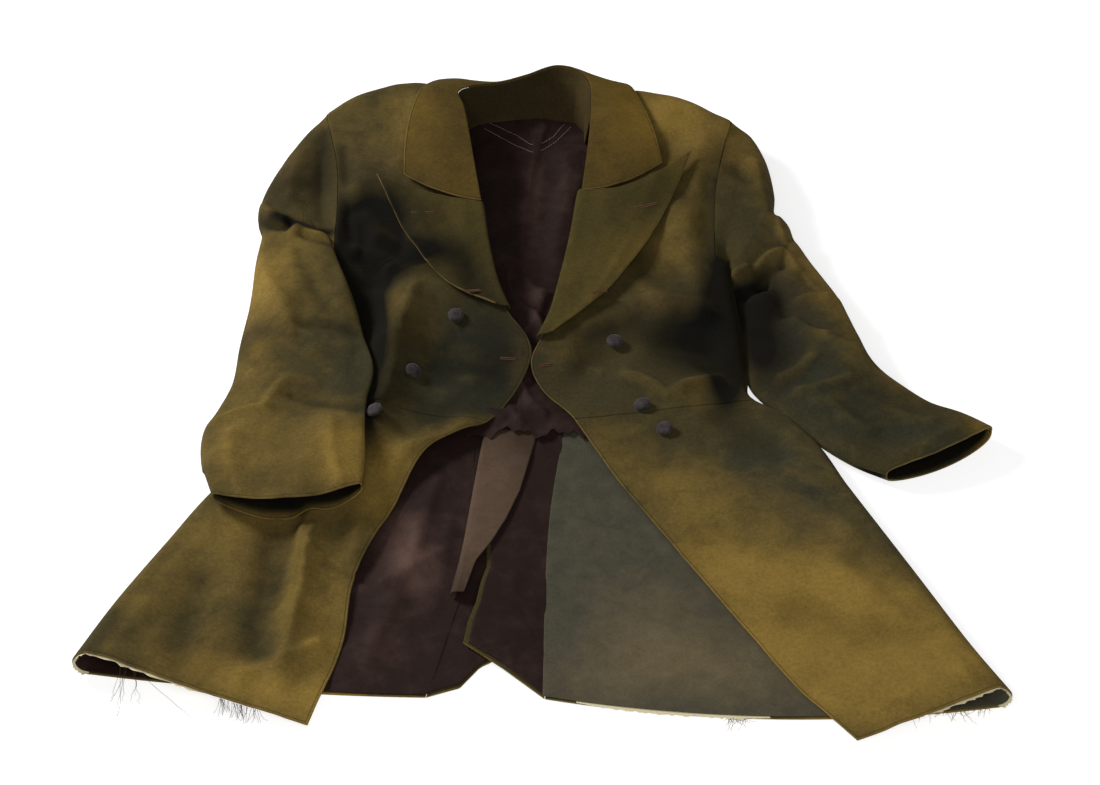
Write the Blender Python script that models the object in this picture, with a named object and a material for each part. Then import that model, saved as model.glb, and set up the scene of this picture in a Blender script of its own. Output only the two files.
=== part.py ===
"""A double-breasted frock coat laid open on its back, as its maker's pieces.

X runs to the right of the view, Y towards the collar, Z up. The origin is on the floor under the back,
beside the middle of the waist. Tables are in millimetres and the objects in metres.
A side of the coat is one bent sheet, from which its panels are cut:
  s runs 0 to 1 from the front edge to the side fold, 1 to 2 round that fold, 2 to 3 back along the floor;
  v runs 0 at the hem, 1 at the waist seam, 2 at the shoulder's crest, 2 to 3 over the shoulder to the floor.
"""

import math

import bpy
import numpy as np

for thing in list(bpy.data.objects):
    bpy.data.objects.remove(thing, do_unlink=True)

MM = 0.001
CLOTH = 2.0  # wall of the outer cloth
LINING = 1.0  # wall of the lining
SEAM = 0.3  # between two pieces at a seam, and between two layers
FLOOR = CLOTH / 2  # height of the cloth's middle where it lies on the floor
INSIDE = CLOTH / 2 + SEAM + LINING / 2  # from the middle of the cloth to the middle of its lining
LINING_SHORT = 2.0  # how far a skirt's lining stops short of the cloth's edges
LOWEST_FRONT = 4.9  # the fronts never sink lower than this on the layers under them
ARMPIT = 1.6  # the v at which the side body ends and the armhole begins
BREAK_LEFT, BREAK_RIGHT = 1.41, 1.31  # the v at which each front starts to turn back as a lapel
LAPEL_LIFT = 6.5  # height of a lapel's middle above the forepart's
LAPEL_EDGE_LIFT, LAPEL_LOW = 3.0, 0.2  # more at its outer edge, and less where it starts
BUTTON_ACROSS, BUTTON_HIGH = 18.0, 7.5
CUFF_BUTTON_ACROSS = 14.0

GOLDEN_OLIVE = (0.135, 0.092, 0.030)
OLIVE = (0.098, 0.074, 0.030)
DARK_GREEN = (0.042, 0.045, 0.028)
BROWN_LINING = (0.046, 0.026, 0.026)
GREEN_FACING = (0.056, 0.054, 0.036)
BUTTON_CLOTH = (0.040, 0.030, 0.034)


def table(columns, *rows):
    """Named columns from rows of numbers."""
    return dict(zip(columns.split(), np.array(rows, float).T))


# Each row gives the front edge, the crest of the side fold and the end of the floor leg.
# bow moves the middle of the row towards the collar, and sag does so for the leg on the floor.
BODY_COLUMNS = "v edge_x edge_y edge_z side_x side_y side_z under_x under_y bow sag"
LEFT = table(
    BODY_COLUMNS,
    (0.00, -233, -476, 5, -450, -406, 33, -121, -436, 0, -6),
    (0.30, -204, -365, 7, -412, -322, 33, -98, -335, 0, 0),
    (0.50, -197, -283, 9, -376, -252, 32, -83, -262, 0, 0),
    (0.72, -163, -188, 12, -333, -172, 31, -81, -175, 0, 0),
    (0.88, -128, -106, 13, -286, -100, 27, -82, -105, 0, 0),
    (1.00, -66, -58, 12, -243, -48, 20, -82, -62, 0, 0),
    (1.10, -43, -24, 13, -240, -14, 15, -84, -18, 0, 0),
    (1.20, -24, 20, 15, -238, 25, 14, -88, 26, 0, 0),
    (1.28, -20, 50, 18, -237, 56, 14, -94, 58, 0, 0),
    (1.34, -27, 72, 22, -236, 80, 15, -100, 84, 0, 0),
    (1.40, -43, 96, 26, -236, 104, 17, -108, 110, 0, 0),
    (1.50, -59, 137, 31, -238, 148, 22, -126, 152, 0, 0),
    (1.60, -69, 186, 35, -243, 196, 32, -150, 200, 0, 0),
    (1.72, -79, 254, 40, -242, 262, 44, -170, 262, 0, 0),
    (1.84, -91, 326, 46, -246, 335, 49, -170, 335, 8, 0),
    (1.92, -100, 386, 53, -254, 380, 51, -170, 380, 22, 0),
    (2.00, -111, 446, 60, -262, 420, 50, -170, 420, 35, 0),
)
RIGHT = table(
    BODY_COLUMNS,
    (0.00, 294, -494, 5, 431, -449, 31, -5, -438, 0, -20),
    (0.25, 242, -431, 7, 397, -385, 31, -4, -365, 0, -6),
    (0.50, 175, -322, 8, 352, -285, 29, -2, -270, 0, 0),
    (0.75, 103, -202, 10, 298, -165, 26, 4, -170, 0, 0),
    (0.90, 57, -122, 12, 250, -85, 22, 12, -103, 0, 0),
    (1.00, 26, -57, 13, 211, -33, 19, 19, -55, 0, 0),
    (1.12, -9, -12, 16, 204, 12, 20, 21, -8, 0, 0),
    (1.20, -20, 15, 19, 200, 44, 24, 24, 27, 0, 0),
    (1.27, -19, 36, 23, 198, 68, 26, 29, 52, 0, 0),
    (1.31, -13, 50, 26, 196, 84, 28, 33, 66, 0, 0),
    (1.40, 2, 92, 29, 192, 116, 31, 44, 100, 0, 0),
    (1.50, 11, 132, 32, 188, 150, 34, 60, 142, 0, 0),
    (1.60, 22, 190, 36, 186, 186, 37, 88, 190, 0, 0),
    (1.72, 33, 260, 41, 187, 240, 40, 110, 240, 0, 0),
    (1.84, 44, 332, 46, 192, 305, 45, 115, 305, 4, 0),
    (1.92, 50, 396, 54, 202, 363, 50, 115, 362, 13, 0),
    (2.00, 50, 447, 60, 212, 403, 52, 115, 401, 23, 0),
)

# Soft ridges and, where the height is negative, troughs: each runs from one point to another.
FOLD_COLUMNS = "x0 y0 x1 y1 height width"
LEFT_FOLDS = table(
    FOLD_COLUMNS,
    (-148, 122, -171, 40, 20, 26),
    (-171, 40, -184, -80, 18, 26),
    (-210, 122, -214, -20, -9, 15),
    (-222, 292, -196, 214, 7, 16),
    (-196, 214, -140, 190, 6, 14),
    (-232, 250, -196, 160, -14, 20),
    (-90, -70, -150, -112, 5, 16),
    (-248, -252, -262, -350, 9, 16),
    (-262, -350, -268, -412, 6, 16),
    (-222, -285, -210, -330, -4, 14),
    (-308, -425, -236, -392, 5, 14),
    (-385, -360, -330, -300, 4, 30),
)
RIGHT_FOLDS = table(
    FOLD_COLUMNS,
    (116, 118, 176, 100, 8, 15),
    (136, 62, 186, 42, -13, 26),
    (86, 2, 168, -10, 6, 14),
    (96, 190, 130, 150, -6, 26),
    (120, 300, 150, 230, 5, 30),
    (150, -150, 300, -230, 4, 40),
    (250, -330, 380, -380, -4, 34),
    (300, -300, 420, -420, 4, 26),
)
LEFT_SIDE = {"rows": LEFT, "folds": LEFT_FOLDS, "out": -1}
RIGHT_SIDE = {"rows": RIGHT, "folds": RIGHT_FOLDS, "out": 1}

# Where a panel's grid has its points. Neighbours share them, so that their edges run side by side.
S_FRONT = np.linspace(0, 1, 13)
S_FOLD = np.linspace(1, 2, 7)
S_UNDER = np.linspace(2, 3, 5)
S_BEHIND = np.concatenate([S_FOLD, S_UNDER[1:]])
S_WHOLE = np.concatenate([S_FRONT, S_BEHIND[1:]])
V_SKIRT = np.linspace(0, 1, 11)
V_WAIST = np.linspace(1, ARMPIT, 9)
V_CHEST = np.linspace(ARMPIT, 2, 6)
V_SHOULDER = np.linspace(2, 3, 7)
V_FOREPART = np.concatenate([V_WAIST, V_CHEST[1:], V_SHOULDER[1:]])


def smooth(knots, values, at):
    """A curve through the rows whose slope at a row is the mean of the slopes beside it."""
    slopes = np.gradient(values, knots)
    i = np.clip(np.searchsorted(knots, at, side="right") - 1, 0, len(knots) - 2)
    span = knots[i + 1] - knots[i]
    t = (at - knots[i]) / span
    start = values[i] * (1 + 2 * t) * (1 - t) ** 2 + slopes[i] * span * t * (1 - t) ** 2
    end = values[i + 1] * t * t * (3 - 2 * t) - slopes[i + 1] * span * t * t * (1 - t)
    return start + end


def fade(low, high, value):
    """0 below low, 1 above high, and an S between them."""
    t = np.clip((value - low) / (high - low), 0, 1)
    return t * t * (3 - 2 * t)


def fold_height(folds, x, y):
    """The sum of the ridges and troughs at x, y: each falls away with the distance from its own run."""
    total = np.zeros(np.broadcast(x, y).shape)
    for x0, y0, x1, y1, height, width in zip(*folds.values()):
        along = ((x - x0) * (x1 - x0) + (y - y0) * (y1 - y0)) / ((x1 - x0) ** 2 + (y1 - y0) ** 2)
        near = np.clip(along, 0, 1)
        away = np.hypot(x - x0 - near * (x1 - x0), y - y0 - near * (y1 - y0))
        total += height * np.exp(-((away / width) ** 2))
    return total


def body(side, s, v):
    """A point in the middle of one side's outer cloth."""
    s, v = np.broadcast_arrays(np.asarray(s, float), np.asarray(v, float))
    rows = side["rows"]
    flat_v = np.clip(v, 0, 2)
    at = {name: smooth(rows["v"], rows[name], flat_v) for name in rows}
    across, under = np.clip(s, 0, 1), np.clip(s - 2, 0, 1)
    turn = math.pi * np.clip(s - 1, 0, 1)
    radius = (at["side_z"] - FLOOR) / 2
    x = at["edge_x"] + (at["side_x"] - at["edge_x"]) * across + (at["under_x"] - at["side_x"]) * under
    y = at["edge_y"] + (at["side_y"] - at["edge_y"]) * across + (at["under_y"] - at["side_y"]) * under
    y += at["bow"] * 4 * across * (1 - across) + at["sag"] * 4 * under * (1 - under)
    z = at["edge_z"] + (at["side_z"] - at["edge_z"]) * across
    folds = fold_height(side["folds"], x, y) * (1 - fade(0.82, 1, across))
    front_z = LOWEST_FRONT + np.logaddexp(0, z + folds - LOWEST_FRONT)
    z = np.where(s < 1, front_z, z) - radius * (1 - np.cos(turn))
    x = x + side["out"] * radius * np.sin(turn)
    over = math.pi * np.clip(v - 2, 0, 1)
    drop = (z - FLOOR) / 2
    return np.stack([x, y + drop * np.sin(over), z - drop * (1 - np.cos(over))], -1)


def normals(surface, a, b, out):
    """Unit normals of surface(a, b), from short steps to both sides of each point."""
    step = 1e-3
    along_a = surface(a + step, b) - surface(a - step, b)
    along_b = surface(a, b + step) - surface(a, b - step)
    normal = out * np.cross(along_a, along_b)
    return normal / np.linalg.norm(normal, axis=-1, keepdims=True)


def cloth_material(name, colour, roughness=0.9):
    material = bpy.data.materials.new(name)
    material.use_nodes = True
    shader = material.node_tree.nodes["Principled BSDF"]
    shader.inputs["Base Color"].default_value = (*colour, 1)
    shader.inputs["Roughness"].default_value = roughness
    shader.inputs["Metallic"].default_value = 0.0
    return material


def solid(name, points, faces, colour):
    """One closed object from points in millimetres; its faces are turned outwards all together."""
    points = np.asarray(points, float) * MM
    triangles = np.array([(f[0], f[i], f[i + 1]) for f in faces for i in range(1, len(f) - 1)])
    first, second, third = points[triangles].transpose(1, 0, 2)
    if np.sum(first * np.cross(second, third)) < 0:
        faces = [tuple(reversed(face)) for face in faces]
    mesh = bpy.data.meshes.new(name)
    mesh.from_pydata(points.tolist(), [], [tuple(int(i) for i in face) for face in faces])
    mesh.materials.append(cloth_material(name, colour))
    mesh.shade_smooth()
    mesh.set_sharp_from_angle(angle=math.radians(50))
    made = bpy.data.objects.new(name, mesh)
    bpy.context.scene.collection.objects.link(made)
    return made


def wall(name, middle, normal, thickness, colour):
    """A closed wall: the grid moved half the thickness out and half in, with a rim all round."""
    rows, columns = middle.shape[:2]
    half = normal * thickness / 2
    points = np.concatenate([(middle + half).reshape(-1, 3), (middle - half).reshape(-1, 3)])
    index = np.arange(rows * columns).reshape(rows, columns)
    quads = np.stack([index[:-1, :-1], index[1:, :-1], index[1:, 1:], index[:-1, 1:]], -1).reshape(-1, 4)
    inner = quads[:, ::-1] + rows * columns
    rim = np.concatenate([index[0, :], index[1:, -1], index[-1, -2::-1], index[-2:0:-1, 0]])
    following = np.roll(rim, -1)
    sides = np.stack([rim, following, following + rows * columns, rim + rows * columns], -1)
    return solid(name, points, quads.tolist() + inner.tolist() + sides.tolist(), colour)


def inset(surface, a, b, gap):
    """The grid's outer rows and columns, moved in by gap measured along the surface."""
    a, b = a.copy(), b.copy()
    step = 1e-3
    speed_a = np.linalg.norm(surface(a + step, b) - surface(a - step, b), axis=-1) / (2 * step)
    speed_b = np.linalg.norm(surface(a, b + step) - surface(a, b - step), axis=-1) / (2 * step)
    a[:, 0] += gap / speed_a[:, 0]
    a[:, -1] -= gap / speed_a[:, -1]
    b[0, :] += gap / speed_b[0, :]
    b[-1, :] -= gap / speed_b[-1, :]
    return a, b


def body_panel(name, side, s_points, v_points, colour):
    """A panel of one side's sheet, half a seam in from its neighbours all round."""

    def surface(s, v):
        return body(side, s, v)

    s, v = np.meshgrid(s_points, v_points)
    s, v = inset(surface, s, v, SEAM / 2)
    return wall(name, surface(s, v), normals(surface, s, v, side["out"]), CLOTH, colour)


def skirt_lining(name, side, colour):
    """The lining of a skirt where it shows: on the floor and a little way up the side fold."""

    def surface(s, v):
        return body(side, s, v)

    s, v = np.meshgrid(S_BEHIND[3:], V_SKIRT)
    s, v = inset(surface, s, v, LINING_SHORT)
    s[:, 0] = S_BEHIND[3]
    normal = normals(surface, s, v, side["out"])
    return wall(name, surface(s, v) - normal * INSIDE, normal, LINING, colour)


# The back lies flat on the floor. inner is its centre seam or vent edge, mid the neck column.
BACK_COLUMNS = "v inner_x inner_y mid_x mid_y"
LEFT_BACK = table(
    BACK_COLUMNS,
    (0.00, -62, -388, -88, -424),
    (0.10, -63, -365, -86, -392),
    (0.30, -67.5, -325, -81, -330),
    (0.50, -67.5, -260, -74, -260),
    (0.75, -64.5, -150, -72, -150),
    (0.90, -56.5, -98, -68, -99),
    (1.00, -31.6, -66, -52, -65),
    (1.30, -38, 65, -62, 66),
    (1.60, -47, 198, -92, 200),
    (1.63, -47, 204, -130, 204),
    (1.72, -41, 262, -124, 262),
    (1.84, -30, 335, -118, 335),
    (1.92, -23, 385, -114, 386),
    (2.00, -18, 458, -111, 445.6),
)
RIGHT_BACK = table(
    BACK_COLUMNS,
    (0.00, -86, -372, -46, -403),
    (0.10, -82, -345, -44, -360),
    (0.20, -74, -318, -38, -325),
    (0.30, -70, -290, -36, -300),
    (0.40, -64.6, -266, -33, -270),
    (0.50, -64.6, -240, -32, -245),
    (0.75, -62.6, -149, -28, -155),
    (0.90, -55.3, -98, -20, -97),
    (1.00, -30.6, -66, -8, -62),
    (1.30, -37, 65, -8, 66),
    (1.60, -46, 198, 10, 196),
    (1.63, -46, 204, 50, 202),
    (1.72, -40, 262, 50, 262),
    (1.84, -29, 335, 50, 335),
    (1.92, -22, 385, 50, 390),
    (2.00, -17, 458, 50, 446.6),
)
# The right tail rises from its seam to its free edge, over the corner of the left one.
RIGHT_TAIL_RISE = table("v rise", (0.0, 7.5), (0.1, 8.5), (0.2, 9.5), (0.3, 7.5), (0.4, 0.0), (3.0, 0.0))
U_MID = 0.4
U_BACK = np.concatenate([[0, U_MID / 2], U_MID + (1 - U_MID) * S_FRONT[::2]])
V_BACK = np.concatenate([V_SKIRT, V_WAIST[1:], [1.63], V_CHEST[1:]])


def back_sheet(side, columns, rise, u, v):
    """A point in the middle of the back's cloth: straight from inner to mid, and from mid to outer."""
    seam = body(side, 3.0, np.minimum(v, ARMPIT))
    armhole = body(side, 1.0, v)
    above = (v > ARMPIT + 0.01)[..., None]
    outer = np.where(above, armhole, seam)
    outer[..., 0] -= side["out"] * (SEAM + above[..., 0] * SEAM * 3)
    outer[..., 1] += above[..., 0] * fade(ARMPIT + 0.1, ARMPIT, v) * SEAM * 4
    inner_x, inner_y, mid_x, mid_y = (np.interp(v, columns["v"], columns[n]) for n in list(columns)[1:])
    near, far = np.clip(u / U_MID, 0, 1), np.clip((u - U_MID) / (1 - U_MID), 0, 1)
    x = inner_x + (mid_x - inner_x) * near + (outer[..., 0] - mid_x) * far
    y = inner_y + (mid_y - inner_y) * near + (outer[..., 1] - mid_y) * far
    bow = smooth(side["rows"]["v"], side["rows"]["bow"], np.clip(v, 0, 2))
    y = y + np.where(v > ARMPIT, bow, 0) * 4 * far * (1 - far) - fade(1.9, 2, v) * SEAM * 3
    z = FLOOR + np.interp(v, rise["v"], rise["rise"]) * (1 - u) if rise else np.full(x.shape, FLOOR)
    return np.stack([x, y, z], -1)


def back_panel(name, side, columns, rise, colour):
    u, v = np.meshgrid(U_BACK, V_BACK)
    middle = back_sheet(side, columns, rise, u, v)
    up = np.broadcast_to((0.0, 0.0, 1.0), middle.shape)
    return wall(name, middle, up, CLOTH, colour)


def tail_lining(name, side, columns, rise, colour):
    """On the tail, a little short of its edges and its seams."""
    u, v = np.meshgrid(U_BACK.clip(0.06, 0.96), V_SKIRT.clip(0.012, 0.97))
    middle = back_sheet(side, columns, rise, u, v)
    middle[..., 2] += INSIDE + 0.2
    up = np.broadcast_to((0.0, 0.0, 1.0), middle.shape)
    return wall(name, middle, up, LINING, colour)


# The back's lining, from its centre seam out to where the fronts hide it.
LINING_COLUMNS = "y seam_x left_x right_x height"
BACK_LINING = table(
    LINING_COLUMNS,
    (-58, -31, -112, 44, 4.5),
    (-30, -33, -124, 56, 5),
    (20, -37, -146, 76, 3),
    (80, -42, -166, 100, 2),
    (140, -47, -186, 122, 1),
    (184, -48, -196, 134, 0),
    (247, -32, -204, 144, 0),
    (340, -23, -206, 146, 1),
    (400, -19, -186, 130, 3),
    (436, -17, -103, 42, 6),
    (452, -17, -98, 37, 9),
    (463.2, -17, -66, 24, 12),
)
LINING_FOLDS = table(
    FOLD_COLUMNS,
    (-70, -40, 0, -36, 5, 12),
    (-40, 70, 14, 44, 10, 13),
    (-62, 160, -42, 110, 9, 12),
    (-8, 150, -26, 90, 6, 10),
    (-50, 120, -20, 60, -4, 8),
    (-96, 330, -62, 210, 4, 16),
    (22, 400, 6, 230, 6, 16),
)


def back_lining(name, outer_x, out, colour):
    """Half of the back's lining: it lies on the cloth, and its folds only rise from it."""
    u, y = np.meshgrid(np.linspace(0, 1, 9), np.linspace(-58, 463.2, 20))
    seam_x = np.interp(y, BACK_LINING["y"], BACK_LINING["seam_x"]) + out * SEAM / 2
    x = seam_x + (np.interp(y, BACK_LINING["y"], BACK_LINING[outer_x]) - seam_x) * u
    base = np.interp(y, BACK_LINING["y"], BACK_LINING["height"]) * (1 - 0.6 * u)
    folds = np.maximum(fold_height(LINING_FOLDS, x, y), 0) * fade(1, 0.7, u)
    middle = np.stack([x, y, FLOOR + INSIDE + base + folds], -1)
    up = np.broadcast_to((0.0, 0.0, 1.0), middle.shape)
    return wall(name, middle, up, LINING, colour)


# The left tail's upper part is turned over the right one: it narrows to a twist.
STRIP = table(
    "y edge_x turn_x top",
    (-66, -12, -68, 6.6),
    (-110, -21, -73, 7.2),
    (-158, -31, -78, 8),
    (-200, -45, -82, 9),
    (-232, -59, -85, 10),
    (-262, -75, -88, 12),
    (-308, -86, -95, 14),
)


def vent_strip(name, colour):
    """From its free edge across to the turn, and round the turn until it meets the layer below."""
    low = FLOOR + INSIDE + LINING / 2 + SEAM * 2 + CLOTH / 2

    def surface(u, w):
        y = STRIP["y"][0] + (STRIP["y"][-1] - STRIP["y"][0]) * w
        edge_x, turn_x, top = (np.interp(-y, -STRIP["y"], STRIP[n]) for n in ("edge_x", "turn_x", "top"))
        radius = (top - low) / 2
        across, turn = np.clip(u, 0, 1), math.pi * np.clip(u - 1, 0, 1)
        x = edge_x + (turn_x - edge_x) * across - radius * np.sin(turn)
        return np.stack([x, y + 0 * x, top - radius * (1 - np.cos(turn))], -1)

    across_and_turn = np.concatenate([np.linspace(0, 1, 5), np.linspace(1.25, 2, 4)])
    u, w = np.meshgrid(across_and_turn, np.linspace(0, 1, 11))
    return wall(name, surface(u, w), normals(surface, u, w, 1), CLOTH, colour)


# A lapel's width is a share of the forepart's; its top row is the gorge and the peak's upper edge.
LEFT_LAPEL = table(
    "w share",
    (0.00, 0.03), (0.08, 0.13), (0.16, 0.25), (0.30, 0.36), (0.50, 0.47), (0.75, 0.60), (1.00, 0.72),
)
RIGHT_LAPEL = table(
    "w share",
    (0.00, 0.03), (0.08, 0.11), (0.22, 0.26), (0.40, 0.40), (0.60, 0.56), (0.80, 0.68), (1.00, 0.78),
)
GORGE_LEFT, GORGE_RIGHT = 1.733, 1.755  # the v at which the gorge leaves the roll line
PEAK_RISE_LEFT, PEAK_RISE_RIGHT = 0.057, 0.125  # how much further up, in v, the peak's tip is
U_ROLL = np.linspace(-0.85, 0, 5)
U_LAPEL = np.concatenate([U_ROLL, np.linspace(0, 1, 8)[1:]])


def lapel(name, side, shares, start, gorge, peak, colour):
    """The forepart's own points moved out: round the roll while u is below 0, then across to the edge."""

    def sheet(s, v):
        return body(side, s, v)

    u, w = np.meshgrid(U_LAPEL, np.linspace(0.03, 1, 11))
    across = np.clip(u, 0, 1)
    v = start + w * (gorge + peak * across**1.2 - start)
    s = across * smooth(shares["w"], shares["share"], w)
    base, up = sheet(s, v), normals(sheet, s, v, side["out"])
    inward = sheet(0.02, v) - sheet(0.0, v)
    inward /= np.linalg.norm(inward, axis=-1, keepdims=True)
    lift = (LAPEL_LIFT + LAPEL_EDGE_LIFT * across**3 - LAPEL_LOW * fade(0.12, 0, w))[..., None]
    turn = (math.pi * (1 + np.clip(u, -1, 0)))[..., None]
    middle = base + (up * (1 - np.cos(turn)) - inward * np.sin(turn)) * lift / 2
    return wall(name, middle, grid_normals(middle, side["out"]), CLOTH, colour)


def grid_normals(middle, out):
    """Unit normals of a grid from the differences between its own points."""
    normal = out * np.cross(np.gradient(middle, axis=1), np.gradient(middle, axis=0))
    return normal / np.linalg.norm(normal, axis=-1, keepdims=True)


# Stations round the collar, from the left gorge over the back of the neck to the right gorge.
COLLAR = table(
    "fold_x fold_y fold_z leaf_x leaf_y leaf_z bow",
    (-78, 268, 52, -168, 306, 59, -3),
    (-87, 330, 57, -169, 345, 60, 0),
    (-94, 380, 61, -167, 386, 62, 0),
    (-101, 424, 64, -161, 430, 63, 0),
    (-108, 450, 66, -149, 462, 66, 0),
    (-92, 463, 65, -118, 503, 44, 0),
    (-59, 472, 63, -68, 507, 16, 0),
    (-28, 482, 66, -30, 515, 13, 0),
    (6, 494, 71, 8, 522, 13, 0),
    (34, 485, 71, 58, 500, 32, 0),
    (47, 461, 69, 92, 471, 61, 0),
    (48, 424, 64, 108, 434, 62, 0),
    (46, 385, 61, 118, 400, 61, 0),
    (42, 340, 57, 125, 368, 60, -4),
    (36, 287, 52, 130, 336, 59, -10),
)
# The stand hangs from the leaf's crest, between these stations: its foot is on the neck of the back.
STAND_HEIGHT = 8.0
STAND = table(
    "station foot_x foot_y",
    (3, -102, 428), (4, -102, 450), (5, -84, 462), (6, -58, 466), (7, -29, 468),
    (8, 2, 467), (9, 28, 464), (10, 41, 450), (11, 42, 428),
)
STAND_IN = 2.5  # from the crest in to the stand's middle


def collar_leaf(name, colour):
    """Across the leaf the cloth leaves the crest level and curves down to the outer edge."""
    order = np.arange(len(COLLAR["bow"]), dtype=float)
    w, station = np.meshgrid(np.linspace(0, 1, 6), np.linspace(0, order[-1], 27))
    at = {n: smooth(order, COLLAR[n], station) for n in COLLAR}
    x = at["fold_x"] + (at["leaf_x"] - at["fold_x"]) * w
    y = at["fold_y"] + (at["leaf_y"] - at["fold_y"]) * w + at["bow"] * 4 * w * (1 - w)
    z = at["fold_z"] + (at["leaf_z"] - at["fold_z"]) * w**1.35 + 3 * np.sin(math.pi * w)
    middle = np.stack([x, y, z], -1)
    return wall(name, middle, grid_normals(middle, -1), CLOTH, colour)


def collar_stand(name, colour):
    """A band from just under the crest down to the neck."""
    order = np.arange(len(COLLAR["bow"]), dtype=float)
    first, last = STAND["station"][[0, -1]]
    w, station = np.meshgrid(np.linspace(0, 1, 4), np.linspace(first, last, 17))
    x, y, z = (smooth(order, COLLAR["fold_" + n], station) for n in "xyz")
    along_x, along_y = np.gradient(x, axis=0), np.gradient(y, axis=0)
    length = np.hypot(along_x, along_y)
    x, y = x + STAND_IN * along_y / length, y - STAND_IN * along_x / length
    x += (smooth(STAND["station"], STAND["foot_x"], station) - x) * w
    y += (smooth(STAND["station"], STAND["foot_y"], station) - y) * w
    middle = np.stack([x, y, z + (STAND_HEIGHT - z) * w], -1)
    return wall(name, middle, grid_normals(middle, -1), CLOTH, colour)


# Rings of a sleeve from the armhole to the cuff: outer and inner are the two ends of the flattened ring.
SLEEVE_COLUMNS = "k outer_x outer_y inner_x inner_y top_out top_in bow"
LEFT_SLEEVE = table(
    SLEEVE_COLUMNS,
    (0.00, -267, 446, -249, 210, 51, 38, -10),
    (0.08, -286, 412, -255, 214, 50, 40, -6),
    (0.16, -308, 362, -261, 220, 48, 42, 0),
    (0.24, -327, 305, -268, 230, 46, 44, 6),
    (0.31, -333, 262, -270, 234, 44, 44, 8),
    (0.37, -327, 236, -269, 216, 38, 44, 4),
    (0.45, -330, 188, -252, 178, 38, 47, 0),
    (0.55, -331, 118, -219, 108, 42, 48, 0),
    (0.65, -337, 45, -203, 50, 44, 46, 0),
    (0.74, -341, -19, -190, -10, 42, 46, 0),
    (0.80, -352, -60, -195, -55, 46, 48, 0),
    (0.86, -364, -98, -195, -98, 51, 50, 0),
    (0.92, -362, -142, -193, -138, 54, 50, 6),
    (1.00, -344, -204, -194, -180, 55, 48, 22),
)
RIGHT_SLEEVE = table(
    SLEEVE_COLUMNS,
    (0.00, 217.5, 434, 191, 194, 52, 40, -9),
    (0.08, 238, 404, 200, 192, 50, 40, -4),
    (0.16, 253, 354, 210, 188, 48, 40, 2),
    (0.24, 261, 290, 219, 176, 45, 38, 6),
    (0.32, 274, 238, 230, 160, 44, 34, 6),
    (0.40, 292, 185, 240, 130, 44, 24, 0),
    (0.50, 318, 125, 248, 86, 46, 22, 0),
    (0.60, 336, 62, 254, 34, 46, 24, 0),
    (0.68, 350, 20, 260, -10, 42, 26, 0),
    (0.76, 377, -12, 272, -52, 36, 26, 0),
    (0.84, 405, -36, 293, -95, 30, 26, 0),
    (0.92, 437, -54, 320, -122, 28, 26, 4),
    (1.00, 468, -80, 350, -140, 27, 26, 10),
)
K_SLEEVE = np.concatenate([np.linspace(0, 0.24, 4), np.linspace(0.3, 0.4, 3), np.linspace(0.47, 1.0, 9)])
RING_POINTS = 9  # along each half of a ring
CLEAR = 3.0  # from the body's cloth, middle to middle, where a sleeve lies on it
ARMPIT_Y = 200.0


def body_top(side, x, y):
    """Height of the body's cloth under a sleeve at x, y, falling away outside the side fold."""
    rows = side["rows"]
    v = np.interp(y, rows["side_y"], rows["v"])
    at = {n: smooth(rows["v"], rows[n], v) for n in ("edge_x", "side_x", "side_z")}
    radius = at["side_z"] / 2
    share = np.clip((x - at["edge_x"]) / (at["side_x"] - at["edge_x"]), 0, 1)
    beyond = side["out"] * (x - at["side_x"])
    plateau = np.maximum(body(side, share, v)[..., 2], at["side_z"] * fade(0.6, 1, share))
    reach = fade(radius + 34, radius + 6, beyond)
    return plateau * reach * fade(ARMPIT_Y + 34, ARMPIT_Y, y)


def sleeve_sheet(rows, side, rests, k, turn):
    """A point of a sleeve: turn runs from 0 at the outer end over the top to 1 inside, and under it to 2."""
    at = {n: smooth(rows["k"], rows[n], k) for n in rows}
    angle = math.pi * turn
    q = (1 - np.cos(angle)) / 2
    length = np.hypot(at["inner_x"] - at["outer_x"], at["inner_y"] - at["outer_y"])
    across_x = (at["inner_x"] - at["outer_x"]) / length
    across_y = (at["inner_y"] - at["outer_y"]) / length
    bow = at["bow"] * 4 * q * (1 - q) * -side["out"]
    x = at["outer_x"] + (at["inner_x"] - at["outer_x"]) * q - bow * -across_y
    y = at["outer_y"] + (at["inner_y"] - at["outer_y"]) * q - bow * across_x
    top = at["top_out"] + (at["top_in"] - at["top_out"]) * q
    low = np.full(np.shape(x), FLOOR + 0.2)
    if rests:
        low = np.maximum(low, body_top(side, x, y) + CLEAR)
    middle, half = (top + low) / 2, (top - low) / 2
    bulge = np.sign(np.sin(angle)) * np.abs(np.sin(angle)) ** 0.75
    return np.stack([x, y, middle + half * bulge], -1)


def sleeve_half(name, rows, side, rests, start, colour):
    """Half of a sleeve's rings, from one seam to the other."""

    def surface(turn, k):
        return sleeve_sheet(rows, side, rests, np.clip(k, 0, 1), turn)

    seam = 0.004  # share of a half ring
    turn, k = np.meshgrid(start + np.linspace(0, 1, RING_POINTS).clip(seam, 1 - seam), K_SLEEVE)
    normal = normals(surface, turn, k, 1)
    return wall(name, surface(turn, k), normal, CLOTH, colour)


# A button's outline, in shares of its radius and its height: its shank, its rim and its low dome.
BUTTON_OUTLINE = table(
    "reach level",
    (0.3, 0), (0.3, 0.3), (0.86, 0.36), (1, 0.56), (0.93, 0.8), (0.58, 0.95),
)


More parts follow.
